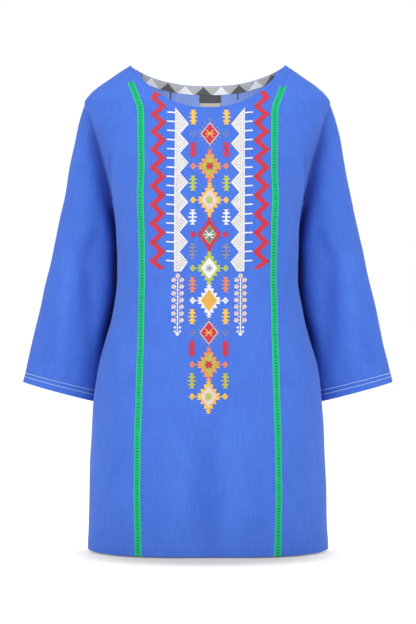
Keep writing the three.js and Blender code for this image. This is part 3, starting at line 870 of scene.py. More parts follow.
def storeShade(made, tone):
    # The painted shade, one value for each point: the outer face, the inner face (left unshaded) and the rim.
    values = np.ones(len(made.data.vertices))
    values[: tone.size] = tone.ravel()
    values[2 * tone.size :] = ringOf(tone)
    made.data.attributes.new("shade", "FLOAT", "POINT").data.foreach_set("value", values)


def settle(made, slot, *nodes):
    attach(made, "root")
    if nodes:
        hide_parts(*nodes)
    return made


def faceArea(grid):
    across, down = np.diff(grid, axis=1)[:-1], np.diff(grid, axis=0)[:, :-1]
    return float(np.linalg.norm(np.cross(across, down), axis=2).sum()) / 1e6


sewing = {  # how the cloth is drawn in at a seam, and raised and grooved at a turned edge
    "seam": {"wide": 1.3, "deep": 0.55},
    "pucker": {"high": 0.16, "reach": 5, "clear": 1.5, "length": 1.9, "wander": (2.2, 23)},
    "turned": {"wide": 0.9, "deep": 0.3},
    "cuffRipple": {"high": 0.3, "middle": 13.6, "reach": 4.5},
    "pointed": 12,  # a top row shorter than this has no good normals of its own
}
panels, areas = {}, {}


def clothPiece(node, grid, centre, kind, seams, sewn, edges=()):
    # seams names the sides with a seam to curl into, sewn those shared by sleeve and body.
    normals = facingOut(grid, centre)
    pointed = np.linalg.norm(grid[0, 0] - grid[0, -1]) < sewing["pointed"]
    if pointed:
        normals[:3] = normals[3]
    left, right, top, bottom = edgeLengths(grid)
    distance = {"left": left, "right": right, "top": top, "bottom": bottom}
    z = grid[..., 2]
    fade = np.ones(left.shape)
    for edge in sewn:
        reach = np.where(z > underarm - 20, 1.0, np.maximum(1, (underarm - z) / 20))
        fade *= smoothStep(0, 14, distance[edge] * reach)
    moved = draped(grid, normals, kind, fade)
    lift = np.zeros(left.shape)
    for edge in seams:
        near, pucker = distance[edge], sewing["pucker"]
        wave = np.sin(z / pucker["length"] + pucker["wander"][0] * np.sin(z / pucker["wander"][1]))
        lift += valley(near, sewing["seam"]["wide"], sewing["seam"]["deep"])
        lift += pucker["high"] * wave * bell(near, pucker["reach"]) * (1 - bell(near, pucker["clear"]))
    for edge, groove in edges:
        off, turned = distance[edge] - groove, sewing["turned"]
        lift += valley(off, turned["wide"], turned["deep"]) + turned["deep"] * (1 - smoothStep(-0.5, 2, off))
    if kind == "sleeve":
        along, cuffRipple = left + 3 * np.sin(left / 17), sewing["cuffRipple"]
        band = bell(bottom - cuffRipple["middle"], cuffRipple["reach"])
        lift += cuffRipple["high"] * band * np.sin(along / 1.7 + bottom / 4)
    moved = moved + normals * lift[..., None]
    final = normalsOf(moved)
    final *= np.sign(np.sum(final * normals, axis=2, keepdims=True))
    if pointed:
        final[:3] = final[3]
    materials = [cottonOutside, cottonInside]
    uvs = clothUvs(grid)
    made = shell(f"tunic_{node}", moved, final, tunic["thickness"], uvs, materials, tunic["edgeRoll"])
    seamDistance = np.min([distance[edge] for edge in sewn], axis=0) if sewn else None
    # painted shade for the cloth's colour, stored on the piece's points
    storeShade(made, shadeOf(grid, normals, kind, seamDistance))
    panels[node], areas[node] = settle(made, "blue_cotton", node), faceArea(moved)
    return moved


neckEdge = ("top", 6)
hemEdge = ("bottom", 20)
cuffRows = (10.2, 17.0)
bodyMiddle = (0, 0, -400)
bothSides = ("left", "right")
frontGrid = neckPanel(96, tunic["frontNeckDrop"], 0, frontEdgeTurn)
frontFace = clothPiece("front_centre", frontGrid, bodyMiddle, "body", bothSides, (), (neckEdge, hemEdge))
backGrid = neckPanel(128, tunic["backNeckDrop"], 180, backEdgeTurn)
clothPiece("back", backGrid, bodyMiddle, "body", bothSides, bothSides, (neckEdge, hemEdge))
for side, word in ((1, "left"), (-1, "right")):
    grid = frontSidePanel(side, 44)
    clothPiece(f"front_side_{word}", grid, bodyMiddle, "body", ("right",), ("right",), (hemEdge,))
    for isFront, half in ((True, "front"), (False, "back")):
        grid = sleeveHalf(side, isFront, 44)
        centre = (side * 200, 30, float(grid[len(grid) // 2, 0, 2]))
        seam = ("left",) if isFront else ("right",)
        turned = [("bottom", row) for row in cuffRows]
        clothPiece(f"sleeve_{word}_{half}", grid, centre, "sleeve", seam, seam, turned)
print("cloth panels made", {name: round(area, 4) for name, area in areas.items()})


def stripUvs(across, down):
    # Lengths across a strip and down from its top.
    return np.stack(np.broadcast_arrays(np.asarray(across)[None, :], -np.asarray(down)[:, None]), -1)


ribbon = {
    "width": 12,
    "thickness": 0.7,
    "lift": 0.12,
    "top": {"left": -40, "right": -32},
    "rowPitch": 0.78,
    "rib": {"pitch": 4.8, "height": 0.28, "half": 3.6},
    "cord": {"height": 0.34, "middle": 4.8, "wide": 0.8},
    "edge": 4.7,
    "green": rgb(8, 170, 112),
    "deep": rgb(0, 98, 66),
    "bright": rgb(44, 178, 150),
}


def ribbonPaint():
    paint = Paint("greenRibbon", Roughness=0.6, **{"Specular IOR Level": 0.2})
    u, v = paint.uv()
    pitch = ribbon["rib"]["pitch"] / 1000
    wander = paint.noise(u, v, 90, 110, 2) * 0.0035
    rib = ((v + wander) / pitch).maths("FRACT")
    gap = (rib - 0.5).maths("ABSOLUTE") * 2
    off = (u * 1000).maths("ABSOLUTE")
    middle = 1 - (off / ribbon["rib"]["half"]).maths("MINIMUM", 1.0)
    # darker rungs across the ribbon's middle, at the pitch of its raised ribs and darkest in the dips between
    # them; how dark each is differs at random
    rungStrength = 0.35 + paint.noise(u, v, 110, 60, 2) * 1.6
    groove = gap.maths("POWER", 1.8) * middle.maths("POWER", 0.35) * rungStrength
    fleck = paint.noise(u, v, 700, 900, 2)
    edge = (off - ribbon["edge"]).maths("MULTIPLY", 1.6)
    tone = paint.mix(groove + (fleck - 0.5) * 0.5, ribbon["green"], ribbon["deep"])
    paint.set("Base Color", paint.mix(edge, tone, ribbon["bright"]))
    paint.bump(fleck * 0.00012 + (1 - groove) * 0.0001)
    return paint.material


def ribbonStrip(side, word):
    top = ribbon["top"][word]
    heights = np.concatenate([[top], bodyLevels[bodyLevels < top - 0.5][::2], [hemHeight]])
    outer = np.array([3.9, 4.5, 5.1, 5.7, 6])
    offsets = np.concatenate([-outer[::-1], np.linspace(-3, 3, 5), outer]) * ribbon["width"] / 12
    coarse = np.array([sample(bodyOutline(side, z), panelLength(side, z) + offsets) for z in heights])
    coarse = draped(coarse, facingOut(coarse, bodyMiddle), "body")
    run = lengthsOf(coarse[:, len(offsets) // 2])
    fine = np.linspace(0, run[-1], int(run[-1] / ribbon["rowPitch"]))
    grid = np.empty((len(fine), len(offsets), 3))
    for c in range(len(offsets)):
        for axis in range(3):
            grid[:, c, axis] = np.interp(fine, run, coarse[:, c, axis])
    normals = facingOut(grid, bodyMiddle)
    wide = np.abs(offsets)
    rib, cord = ribbon["rib"], ribbon["cord"]
    wave = np.abs(np.sin(np.pi * fine / rib["pitch"] + 0.5 * np.sin(fine / 14)))
    ribs = rib["height"] * wave[:, None] * (wide < rib["half"])
    cords = cord["height"] * bell(wide - cord["middle"], cord["wide"])[None, :]
    rise = ribbon["lift"] + ribbon["thickness"] + ribs + cords
    grid = grid + normals * rise[..., None]
    uvs = stripUvs(offsets, fine)
    made = shell(f"ribbon_{word}_band", grid, normals, ribbon["thickness"], uvs, [ribbonMaterial], 0.15)
    settle(made, "green_ribbon", f"ribbon_{word}")
    flat = (ribbon["width"] / 1000, round(run[-1] / 1000, 3))


ribbonMaterial = ribbonPaint()
ribbonStrip(1, "left")
ribbonStrip(-1, "right")
print("ribbons made")

tape = {
    "half": 111,
    "height": 13.5,
    "thickness": 0.7,
    "gap": 0.5,
    "pitch": 30.3,
    "shift": -7.5,
    "rows": [0.05, 0.8, 3.5, 6.8, 10, 12.4, 13.1],
    "rowLengths": [0, 0.8, 3, 6.4, 9.6, 12, 12.7],
    "ground": rgb(196, 196, 190),
    "dark": rgb(96, 96, 91),
    "light": rgb(255, 255, 252),
}
label = {"width": 36, "height": 28, "middle": 4, "thickness": 0.6, "band": 13, "drop": 13.8, "gap": 0.3}
tackFinish = {"wide": 2.0, "lift": 0.55, "dome": 0.3, "thickness": 0.6}


def backTop(xs, downs, inward):
    # Points on the inside of the back, at distances down from its neck edge.
    rows = []
    for down in downs:
        row = []
        for x in xs:
            side = -1 if x < 0 else 1
            z = float(neckHeight(tunic["backNeckDrop"], x)) - down
            turn = 180 - float(frontTurnAt(z, x))
            line = bodyOutline(side, z)
            row.append(sample(line, np.array([line["lengthAt"](turn)]))[0])
        rows.append(row)
    grid = np.array(rows)
    normals = facingOut(grid, (0, 0, -20))
    moved = draped(grid, normals, "body")
    return moved - normals * inward, -normals


def tapePaint():
    paint = Paint("greyTape", Roughness=0.85, **{"Specular IOR Level": 0.2, "Sheen Weight": 0.15})
    u, v = paint.uv()
    pitch = tape["pitch"] / 1000
    place = (u + tape["shift"] / 1000) / pitch
    rise = 1 - ((place.maths("FRACT") - 0.5).maths("ABSOLUTE") * 2)
    low = (v + tape["height"] / 1000) / (tape["height"] / 1000)
    inTriangle = rise.maths("GREATER_THAN", low * 0.96)
    odd = ((place.maths("FLOOR")) * 0.5).maths("FRACT").maths("GREATER_THAN", 0.25)
    fleck = paint.noise(u, v, 1100, 1100, 2)
    triangle = paint.mix(odd, tape["light"], tape["dark"])
    tone = paint.mix(inTriangle, tape["ground"], triangle)
    paint.set("Base Color", paint.mix((fleck - 0.42) * 0.4, tone, rgb(150, 150, 146)))
    turn = 2 * math.pi / 0.0006
    paint.bump(((u * turn).maths("SINE") + (v * turn).maths("SINE")) * 0.00004 + fleck * 0.0001)
    return paint.material


def labelPaint():
    paint = Paint("labelCloth", Roughness=0.7, **{"Specular IOR Level": 0.3})
    u, v = paint.uv()
    fleck = paint.noise(u, v, 900, 1500, 2)
    band = (v * -1000).maths("LESS_THAN", float(label["band"]))
    tone = paint.mix(band, rgb(196, 190, 168), rgb(74, 74, 82))
    paint.set("Base Color", paint.mix((fleck - 0.35) * 0.5, tone, rgb(150, 142, 132)))
    paint.bump(fleck * 0.00012)
    return paint.material


tapeXs = np.linspace(-tape["half"], tape["half"], 112)
grid, inwards = backTop(tapeXs, tape["rows"], tunic["thickness"] + tape["gap"])
run = lengthsOf(grid[3])
uvs = stripUvs(run - run[-1] / 2, tape["rowLengths"])
grid = grid + inwards * tape["thickness"]
tapeStrip = shell("neck_tape_band", grid, inwards, tape["thickness"], uvs, [tapePaint()], 0.12)
settle(tapeStrip, "grey_tape", "neck_tape")
tape["height"] / 1000

labelXs = np.linspace(label["middle"] - label["width"] / 2, label["middle"] + label["width"] / 2, 19)
labelDowns = label["drop"] + np.linspace(0, label["height"], 15)
grid, inwards = backTop(labelXs, labelDowns, tunic["thickness"] + label["gap"])
arch = lambda count: np.sin(np.linspace(0, np.pi, count))
billow = arch(15)[:, None] * (0.5 + 0.5 * arch(19))[None, :]
grid = grid + inwards * (label["thickness"] + 1.1 * billow)[..., None]
uvs = stripUvs(labelXs - label["middle"], labelDowns - label["drop"])
labelPiece = shell("label_patch", grid, inwards, label["thickness"], uvs, [labelPaint()], 0.1)
settle(labelPiece, "label_cloth", "label")
print("tape and label made")


def barTack(name, x, downs):
    down, half = np.linspace(*downs, 12), tackFinish["wide"] / 2
    grid, inwards = backTop(np.linspace(x - half, x + half, 5), down, tunic["thickness"])
    swell = lambda count: np.sin(np.linspace(0.15, np.pi - 0.15, count))
    dome = swell(5)[None, :] * swell(12)[:, None] ** 0.3
    grid = grid + inwards * (tackFinish["lift"] + tackFinish["dome"] * dome)[..., None]
    uvs = stripUvs(np.linspace(0, tackFinish["wide"], 5), -down)
    return shell(name, grid, inwards, tackFinish["thickness"], uvs, [], 0.1)


tacks = [barTack("bar_tack_left", 51, (12.4, 25)), barTack("bar_tack_right", -63, (12.4, 26))]

# Embroidery. Shapes are drawn flat, as (x, height, rise) with x from the design's centre line,
# and then laid on the front panel.
frontIndex = np.arange(frontFace[..., 0].size).reshape(frontFace.shape[:2])
frontMesh = BVHTree.FromPolygons([Vector(p) for p in frontFace.reshape(-1, 3)], quadsOf(frontIndex).tolist())
threadColours = {
    "red": (rgb(186, 22, 50), rgb(220, 42, 74)),
    "yellow": (rgb(238, 182, 58), rgb(252, 208, 92)),
    "orange": (rgb(228, 138, 62), rgb(246, 166, 88)),
    "salmon": (rgb(220, 118, 82), rgb(238, 146, 112)),
    "lime": (rgb(168, 184, 54), rgb(198, 212, 88)),
    "olive": (rgb(166, 168, 52), rgb(196, 202, 92)),
    "white": (rgb(232, 234, 240), rgb(250, 250, 253)),
    "pinkWhite": (rgb(214, 184, 184), rgb(246, 228, 222)),
    "greyBlue": (rgb(120, 126, 156), rgb(150, 154, 178)),
    "greyGreen": (rgb(98, 112, 108), rgb(128, 142, 138)),
    "amber": (rgb(222, 164, 52), rgb(240, 188, 80)),
    "lattice": (rgb(112, 104, 140), rgb(250, 249, 252)),
    "paleBlue": (rgb(168, 206, 238), rgb(212, 236, 250)),
    "navy": (rgb(46, 58, 120), rgb(66, 80, 150)),
}
thread = {"pitch": 0.42, "rise": 0.75, "sink": 0.25, "edge": 0.42, "depth": 0.8}


def threadPaint(name, dark, light):
    dark, light = ((*(c * thread["depth"] for c in tint[:3]), 1) for tint in (dark, light))
    finish = {"Roughness": 0.5, "Specular IOR Level": 0.4, "Sheen Weight": 0.3, "Sheen Roughness": 0.35}
    paint = Paint(name + "Thread", **finish)
    u, v = paint.uv()
    row = v * (2 * math.pi * 1000 / thread["pitch"])
    strands = row.maths("SINE")
    fleck = paint.noise(u, v, 260, 1900, 2)
    tone = (fleck - 0.5) * 0.9 + 0.6 + strands * 0.12
    if name == "lattice":
        netting = 0.0052
        across, down = ((u + v) / netting).maths("FRACT"), ((u - v) / netting).maths("FRACT")
        hole = across.maths("GREATER_THAN", 0.52) * down.maths("GREATER_THAN", 0.34)
        tone = tone + 0.3 - hole * 0.8
        place = paint.node("ShaderNodeCombineXYZ", values={0: u * 170, 1: v * 170})
        values = {"Vector": place, "Scale": 1.0, "Detail": 0.0}
        tint = paint.node("ShaderNodeTexNoise", {"noise_dimensions": "2D"}, values, output=1)
        dark = paint.mix(0.45, dark, tint)
    paint.set("Base Color", paint.mix(tone, dark, light))
    paint.bump(strands * 0.00006 + fleck * 0.00014)
    return paint.material


threadMaterials = {name: threadPaint(name, *colours) for name, colours in threadColours.items()}
shapes = {name: [] for name in threadColours}


def centreLine(z):
    return 3.5 + (z + 120) * 0.00537


def sew(colour, loop, z=0.0, rise=None, edge=None):
    # loop is a list of (x, height) round a shape, from the design's centre line and from z.
    placed = [(x + centreLine(z + h), z + h) for x, h in loop]
    shapes[colour].append((placed, rise or thread["rise"], edge or thread["edge"]))


def sewPair(colour, loop, z=0.0, rise=None, edge=None):
    # The shape and its mirror image.
    for sx in (1, -1):
        sew(colour, [(x * sx, h) for x, h in loop], z, rise, edge)


def mirrored(quarter):
    # A loop from its quarter, given from the top centre round to the right.
    half = quarter + [(x, -h) for x, h in reversed(quarter) if h]
    return half + [(-x, h) for x, h in reversed(half) if x]


def bar(x0, h0, x1, h1, wide):
    dx, dh = x1 - x0, h1 - h0
    long = math.hypot(dx, dh)
    nx, nh = -dh / long * wide / 2, dx / long * wide / 2
    return [(x0 + nx, h0 + nh), (x1 + nx, h1 + nh), (x1 - nx, h1 - nh), (x0 - nx, h0 - nh)]


def rhombus(halfWide, halfHigh, x=0.0, h=0.0):
    return [(x, h + halfHigh), (x + halfWide, h), (x, h - halfHigh), (x - halfWide, h)]


def round8(radius, x=0.0, h=0.0, count=8):
    turns = [2 * math.pi * i / count for i in range(count)]
    return [(x + radius * math.sin(turn), h + radius * math.cos(turn)) for turn in turns]


corners = [(1, 1), (1, -1), (-1, 1), (-1, -1)]
toothQuarter = [(0, 19.7), (8, 19.7), (6, 12.3), (13.4, 12.3), (11, 5.6), (18.5, 5.6), (16, 0)]


def toothRing(colour, z, inner):
    loop = toothQuarter + [(inner[0], 0), (0, inner[1])]
    for sx, sh in corners:
        sew(colour, [(x * sx, h * sh) for x, h in loop], z)


def finials(colour, z):
    for sh in (1, -1):
        sew(colour, [(-5, 23.9 * sh), (5, 23.9 * sh), (1.6, 19.6 * sh), (-1.6, 19.6 * sh)], z)
        sew(colour, [(-3.6, 27.7 * sh), (3.6, 27.7 * sh), (1.3, 23.6 * sh), (-1.3, 23.6 * sh)], z)


sideX = 26.7  # from the middle to the small diamonds beside a large one


def sideDiamonds(colour, dot, z):
    for sx in (1, -1):
        sew(colour, rhombus(5.2, 6, sideX * sx), z)
        sew(dot, bar(sideX * sx - 1.6, 0, sideX * sx + 1.6, 0, 1.3), z, 1.0, 0.3)
        sew(colour, bar(16 * sx, 0, 21.8 * sx, 0, 1.9), z, 0.6)


def star(colour, z, arm=(6, 6.4), across=7, wide=2.0, upright=0):
    for sx in (1, -1):
        sew(colour, bar(-arm[0] * sx, -arm[1], arm[0] * sx, arm[1], wide), z, 1.05, 0.4)
    sew(colour, bar(-across, 0, across, 0, wide), z, 1.1, 0.4)
    if upright:
        sew(colour, bar(0, -upright, 0, upright, wide), z, 1.15, 0.4)


thinSteps = [(4.2, 14.6, 8, 16.6), (8, 16.6, 7.2, 19.6), (8.2, 8.8, 12.8, 10.6), (12.8, 10.6, 12, 13)]
thinSteps += [(12, 3.8, 17, 5), (17, 5, 16.4, 7.4), (15.4, 0.2, 18, 1.6)]
thinSteps += [(0, 20.2, 3.6, 24.4), (3.6, 24.4, 0.8, 25)]


def thinTeeth(colour, z):
    for sx, sh in corners:
        for x0, h0, x1, h1 in thinSteps:
            sew(colour, bar(x0 * sx, h0 * sh, x1 * sx, h1 * sh, 1.2), z, 0.6, 0.3)


diamondHeights = [-120.5, -174.2, -229.6, -285.5, -340, -392.4, -444.4, -496.3, -547.8]
diamondDesigns = ["ruby", "orange", "yellow", "red", "lime", "white", "ruby", "orange", "yellow"]
fields = {  # what fills each design: colour, half width, half height and rise
    "ruby": [("pinkWhite", 15.3, 19.5, 0.6), ("red", 13.6, 17.5, 0.9)],
    "orange": [("olive", 13.2, 17.8, 0.6)],
    "yellow": [("pinkWhite", 13.2, 17.8, 0.6)],
    "red": [("olive", 12, 16, 0.5), ("greyGreen", 10.6, 14.2, 0.65)],
    "lime": [("white", 13.2, 17.8, 0.6)],
    "white": [("amber", 13.2, 17.8, 0.6)],
}
stars = {
    "ruby": {"colour": "yellow"},
    "yellow": {"colour": "lime", "arm": (4.3, 4.8), "across": 5.6, "wide": 2.5, "upright": 6},
    "red": {"colour": "white", "arm": (6, 6.6), "across": 8},
    "lime": {"colour": "greyBlue", "arm": (4.6, 4.6), "across": 6.2, "wide": 1.5, "upright": 6.2},
}
sideColours = {  # of finials and side diamonds, and of the bar inside these
    "orange": ("salmon", "red"),
    "yellow": ("yellow", "orange"),
    "red": ("red", "red"),
    "lime": ("lime", "greyGreen"),
    "white": ("white", "greyBlue"),
}
for z, design in zip(diamondHeights, diamondDesigns):
    for colour, wide, high, rise in fields[design]:
        sew(colour, rhombus(wide, high), z, rise)
    if design in stars:
        star(z=z, **stars[design])
    if design == "ruby":
        thinTeeth("greyBlue", z)
        frame = rhombus(4.8, 5.6)
        for sx in (1, -1):
            for (x0, h0), (x1, h1) in zip(frame[-1:] + frame[:-1], frame):
                sew("greyBlue", bar(sideX * sx + x0, h0, sideX * sx + x1, h1, 1.2), z, 0.55, 0.3)
            sew("greyBlue", rhombus(1.6, 2, sideX * sx), z, 0.6, 0.3)
        continue
    toothRing(design, z, (11.6, 15.6) if design == "red" else (13.2, 17.8))
    colour, dot = sideColours[design]
    finials(colour, z)
    sideDiamonds(colour, dot, z)
    if design == "orange":
        for sx, sh in corners:
            sew("orange", bar(4.6 * sx, 9.4 * sh, 7.4 * sx, 7 * sh, 1.5), z, 0.85, 0.35)
            sew("orange", bar(1.2 * sx, 12.6 * sh, 3.4 * sx, 11.4 * sh, 1.4), z, 0.85, 0.35)
        half = [(-5.5, 6), (-2, 6), (0, 4.2), (2, 6), (5.5, 6), (4.2, 2.6), (7, 0.8), (7, -0.8), (4.2, -2.6)]
        sew("red", half + [(-x, -h) for x, h in half], z, 1.0)

fishbones = [  # height, colour and half the width of the spine
    (-92.8, "yellow", 2.7),
    (-147.1, "red", 2.8),
    (-202.2, "lime", 2.3),
    (-257.2, "white", 1.4),
    (-312.4, "greyBlue", 1.1),
    (-366.4, "salmon", 2.2),
    (-418.5, "yellow", 2.5),
    (-470.2, "red", 2.8),
    (-522.4, "olive", 2.3),
]
for z, colour, s in fishbones:
    quarter = [(0, 12.2), (4.5, 12.4), (s + 0.3, 9.2), (s, 7.9), (6.3, 7.1)]
    quarter += [(5.7, 5.2), (s + 0.1, 4.2), (s, 1.2), (7.1, 1.0), (7.1, 0)]
    sewPair(colour, [(x + 27.1, h) for x, h in mirrored(quarter)], z, 0.8, 0.35)

sawtooth = {
    "outer": 57,
    "tip": 34.4,
    "valley": 48.3,
    "top": -76,
    "firstTip": -104.3,
    "pitch": 32.2,
    "tips": 8,
    "bottom": -345,
    "border": 2.0,
}


def offsetLoop(loop, inset):
    # The same loop, moved inwards by the same distance all round.
    points = np.array(loop, float)
    before, after = points - np.roll(points, 1, 0), np.roll(points, -1, 0) - points
    before /= np.linalg.norm(before, axis=1, keepdims=True)
    after /= np.linalg.norm(after, axis=1, keepdims=True)
    x, h = points.T
    turning = np.sum(x * np.roll(h, -1) - np.roll(x, -1) * h)
    way = 1 if turning > 0 else -1
    inwardBefore = np.stack([-before[:, 1], before[:, 0]], -1) * way
    inwardAfter = np.stack([-after[:, 1], after[:, 0]], -1) * way
    middle = inwardBefore + inwardAfter
    shared = np.maximum(0.35, 1 + np.sum(inwardBefore * inwardAfter, axis=1, keepdims=True))
    return points + middle / shared * inset


toothLine = [(sawtooth["outer"], sawtooth["top"])]
for i in range(sawtooth["tips"]):
    toothLine.append((sawtooth["tip"], sawtooth["firstTip"] - sawtooth["pitch"] * i))
    if i < sawtooth["tips"] - 1:
        toothLine.append((sawtooth["valley"], sawtooth["firstTip"] - sawtooth["pitch"] * (i + 0.5)))
toothLine += [(45, sawtooth["bottom"]), (sawtooth["outer"], sawtooth["bottom"])]
innerLine = [tuple(p) for p in offsetLoop(toothLine, sawtooth["border"])]
for i in range(len(toothLine)):
    j = (i + 1) % len(toothLine)
    sewPair("white", [toothLine[i], toothLine[j], innerLine[j], innerLine[i]], 0, 0.85, 0.3)
sewPair("lattice", offsetLoop(toothLine, sawtooth["border"] - 0.3), 0, 0.6)
for sx in (1, -1):
    for i in range(17):
        z = -85 - 15.2 * i
        sew("white", bar(56 * sx, 0, 70 * sx, 1.0, 2.3), z, 0.8)


def serrated(points, pitch=3.6, depth=0.8):
    # A line with small steps along it, as satin stitches leave.
    out = []
    for (x0, h0), (x1, h1) in zip(points[:-1], points[1:]):
        count = max(1, round(math.hypot(x1 - x0, h1 - h0) / pitch))
        for k in range(count):
            t = k / count
            step = 0 if k == 0 else depth if k % 2 else -depth
            out.append((x0 + (x1 - x0) * t + step, h0 + (h1 - h0) * t))
    return out + [points[-1]]


zigzag = {"inner": 70.6, "outer": 97.8, "wide": 11.4, "top": -60, "pitch": 30.6, "count": 10}
zigHeights = []
for k in range(zigzag["count"]):
    zigHeights.append(zigzag["top"] - zigzag["pitch"] * k + 7 * (1 - math.exp(-k / 1.5)))
zigLine = [(86, -48.5)]
for k, z in enumerate(zigHeights):
    if k:
        zigLine.append((zigzag["inner"] + zigzag["wide"] / 2, (z + zigHeights[k - 1]) / 2))
    zigLine.append((zigzag["outer"] - zigzag["wide"] / 2, z))
zigLine.append((zigzag["inner"] + zigzag["wide"] / 2, -341))
for (x0, h0), (x1, h1) in zip(zigLine[:-1], zigLine[1:]):
    w = zigzag["wide"] / 2
    left = serrated([(x0 - w, h0), (x1 - w, h1)])
    right = serrated([(x0 + w, h0), (x1 + w, h1)])
    sewPair("red", left + right[::-1], 0, 0.8, 0.35)

sprigs = {
    "x": 51,
    "top": -352,
    "first": -358.8,
    "pitch": 10.9,
    "pairs": 7,
    "reach": 6.4,
    "bottom": -448,
    "petals": 5,
}
for sx in (1, -1):
    x = sprigs["x"] * sx
    sew("white", bar(x, -356, x, sprigs["bottom"], 1.9), 0, 0.8, 0.35)
    blooms = [(x, sprigs["top"])]
    for i in range(sprigs["pairs"]):
        blooms += [(x + way * sprigs["reach"], sprigs["first"] - sprigs["pitch"] * i) for way in (-1, 1)]
    for bx, bz in blooms:
        for k in range(sprigs["petals"]):
            angle = 2 * math.pi * k / sprigs["petals"] + 0.3
            px, pz = bx + 2.5 * math.sin(angle), bz + 2.5 * math.cos(angle)
            sew("white" if k % 2 else "pinkWhite", round8(1.75, px, pz, 6), 0, 0.7, 0.35)
        sew("orange", round8(1.5, bx, bz, 6), 0, 0.95, 0.3)
    for i in range(sprigs["pairs"]):
        for way in (-1, 1):
            h = sprigs["first"] - sprigs["pitch"] * (i + 0.45)
            sew("pinkWhite", bar(x + way * 1.2, h - 1.4, x + way * 4.4, h + 0.8, 1.1), 0, 0.6, 0.3)
    for h in (-436, -442.6):
        for way in (-1, 1):
            sew("white", rhombus(2.3, 2.6, x + way * 4.3, h), 0, 0.7, 0.35)
    sew("white", round8(3.2, x, -446.5), 0, 0.8)


def pancake(loop, rise, edge):
    # A closed flat shape: rounded over the top, and sunk a little into the cloth below.
    outer = np.array(loop)
    inner = offsetLoop(loop, edge)
    count = len(outer)
    column = lambda points, height: np.column_stack([points, np.full(count, height)])
    rows = [column(outer, -thread["sink"]), column(outer, rise * 0.45), column(inner, rise)]
    filled = lambda ring: tessellate_polygon([[Vector((x, h, 0)) for x, h in ring]])
    faces = [tuple(i + 2 * count for i in face) for face in filled(inner)]
    faces += [tuple(face) for face in filled(outer)]
    for low in (0, count):
        for i in range(count):
            j = (i + 1) % count
            faces.append((low + i, low + j, low + count + j, low + count + i))
    return np.concatenate(rows), faces


def layOnFront(points):
    placed = np.empty((len(points), 3))
    for i, (x, z, rise) in enumerate(points):
        spot, normal, _, _ = frontMesh.ray_cast(Vector((x, -400, z)), Vector((0, 1, 0)), 600)
        if spot is None:
            spot, normal, _, _ = frontMesh.find_nearest(Vector((x, -80, z)))
        if normal.y > 0:
            normal = -normal
        placed[i] = spot + normal * rise
    return placed


def embroider(name, loops):
    work = bmesh.new()
    for loop, rise, edge in loops:
        points, faces = pancake(loop, rise, edge)
        verts = [work.verts.new(p) for p in points]
        for face in faces:
            try:
                work.faces.new([verts[i] for i in face])
            except ValueError:
                pass
    bmesh.ops.recalc_face_normals(work, faces=work.faces)
    low = min(v.co.y for v in work.verts)
    high = max(v.co.y for v in work.verts)
    cutsAcross = [((x, 0, 0), (1, 0, 0)) for x in np.arange(-96, 100, 8)]
    cutsDown = [((0, h, 0), (0, 1, 0)) for h in np.arange(low + 5, high, 12)]
    for place, normal in cutsAcross + cutsDown:
        geometry = work.verts[:] + work.edges[:] + work.faces[:]
        bmesh.ops.bisect_plane(work, geom=geometry, dist=1e-4, plane_co=place, plane_no=normal)
    work.verts.index_update()
    flat = np.array([v.co[:] for v in work.verts])
    faces = [[v.index for v in face.verts] for face in work.faces]
    work.free()
    material = threadMaterials[name]
    made = newObject("embroidery_" + name, layOnFront(flat), faces, flat[:, :2], [material], smooth=False)
    return settle(made, "blue_cotton")


embroidery = [embroider(name, loops) for name, loops in shapes.items() if loops]
for tack in tacks:
    tack.data.materials.append(threadMaterials["navy"])
    settle(tack, "blue_cotton")
print("embroidery made", sum(len(made.data.polygons) for made in embroidery), "faces")

cuffStitch = {"rows": cuffRows, "long": 3.0, "gap": 0.6, "wide": 1.15, "rise": 0.55, "lift": 0.55}


def stitchShape(start, end, normal, wide, rise):
    way = end - start
    across = np.cross(normal, way)
    across /= np.linalg.norm(across)
    points, faces = [], []
    for share, swell in ((0, 0.35), (0.25, 1), (0.75, 1), (1, 0.35)):
        for k in range(6):
            angle = math.pi * k / 3
            sideways = across * (wide / 2 * swell * math.cos(angle))
            points.append(start + way * share + sideways + normal * (rise * swell * math.sin(angle)))
    for ring in range(3):
        for k in range(6):
            a, b = ring * 6 + k, ring * 6 + (k + 1) % 6
            faces.append((a, b, b + 6, a + 6))
    faces += [tuple(range(5, -1, -1)), tuple(range(18, 24))]
    return points, faces


stitchPoints, stitchFaces = [], []
for side in (1, -1):
    for height in cuffStitch["rows"]:
        line = sleeveOutline(side, tunic["cuff"] + height * 0.98)
        above = sleeveOutline(side, tunic["cuff"] + height * 0.98 + 2)
        pitch = cuffStitch["long"] + cuffStitch["gap"]
        starts = np.arange(0, line["total"] - pitch, pitch)
        begin, finish = sample(line, starts), sample(line, starts + cuffStitch["long"])
        up = sample(above, starts * above["total"] / line["total"]) - begin
        out = np.cross(finish - begin, up)
        out /= np.linalg.norm(out, axis=1, keepdims=True)
        centre = line["points"].mean(axis=0)
        if np.sum(out * (begin - centre)) < 0:
            out = -out
        begin, finish = draped(begin, out, "sleeve"), draped(finish, out, "sleeve")
        begin, finish = begin + out * cuffStitch["lift"], finish + out * cuffStitch["lift"]
        for a, b, normal in zip(begin, finish, out):
            points, faces = stitchShape(a, b, normal, cuffStitch["wide"], cuffStitch["rise"])
            base = len(stitchPoints)
            stitchPoints += points
            stitchFaces += [tuple(base + i for i in face) for face in faces]
noUvs = np.zeros((len(stitchPoints), 2))
materials = [threadMaterials["paleBlue"]]
cuffStitches = newObject("cuff_topstitching", stitchPoints, stitchFaces, noUvs, materials)
work = bmesh.new()
work.from_mesh(cuffStitches.data)
bmesh.ops.recalc_face_normals(work, faces=work.faces)
work.to_mesh(cuffStitches.data)
work.free()
settle(cuffStitches, "blue_cotton")
print("stitching made")

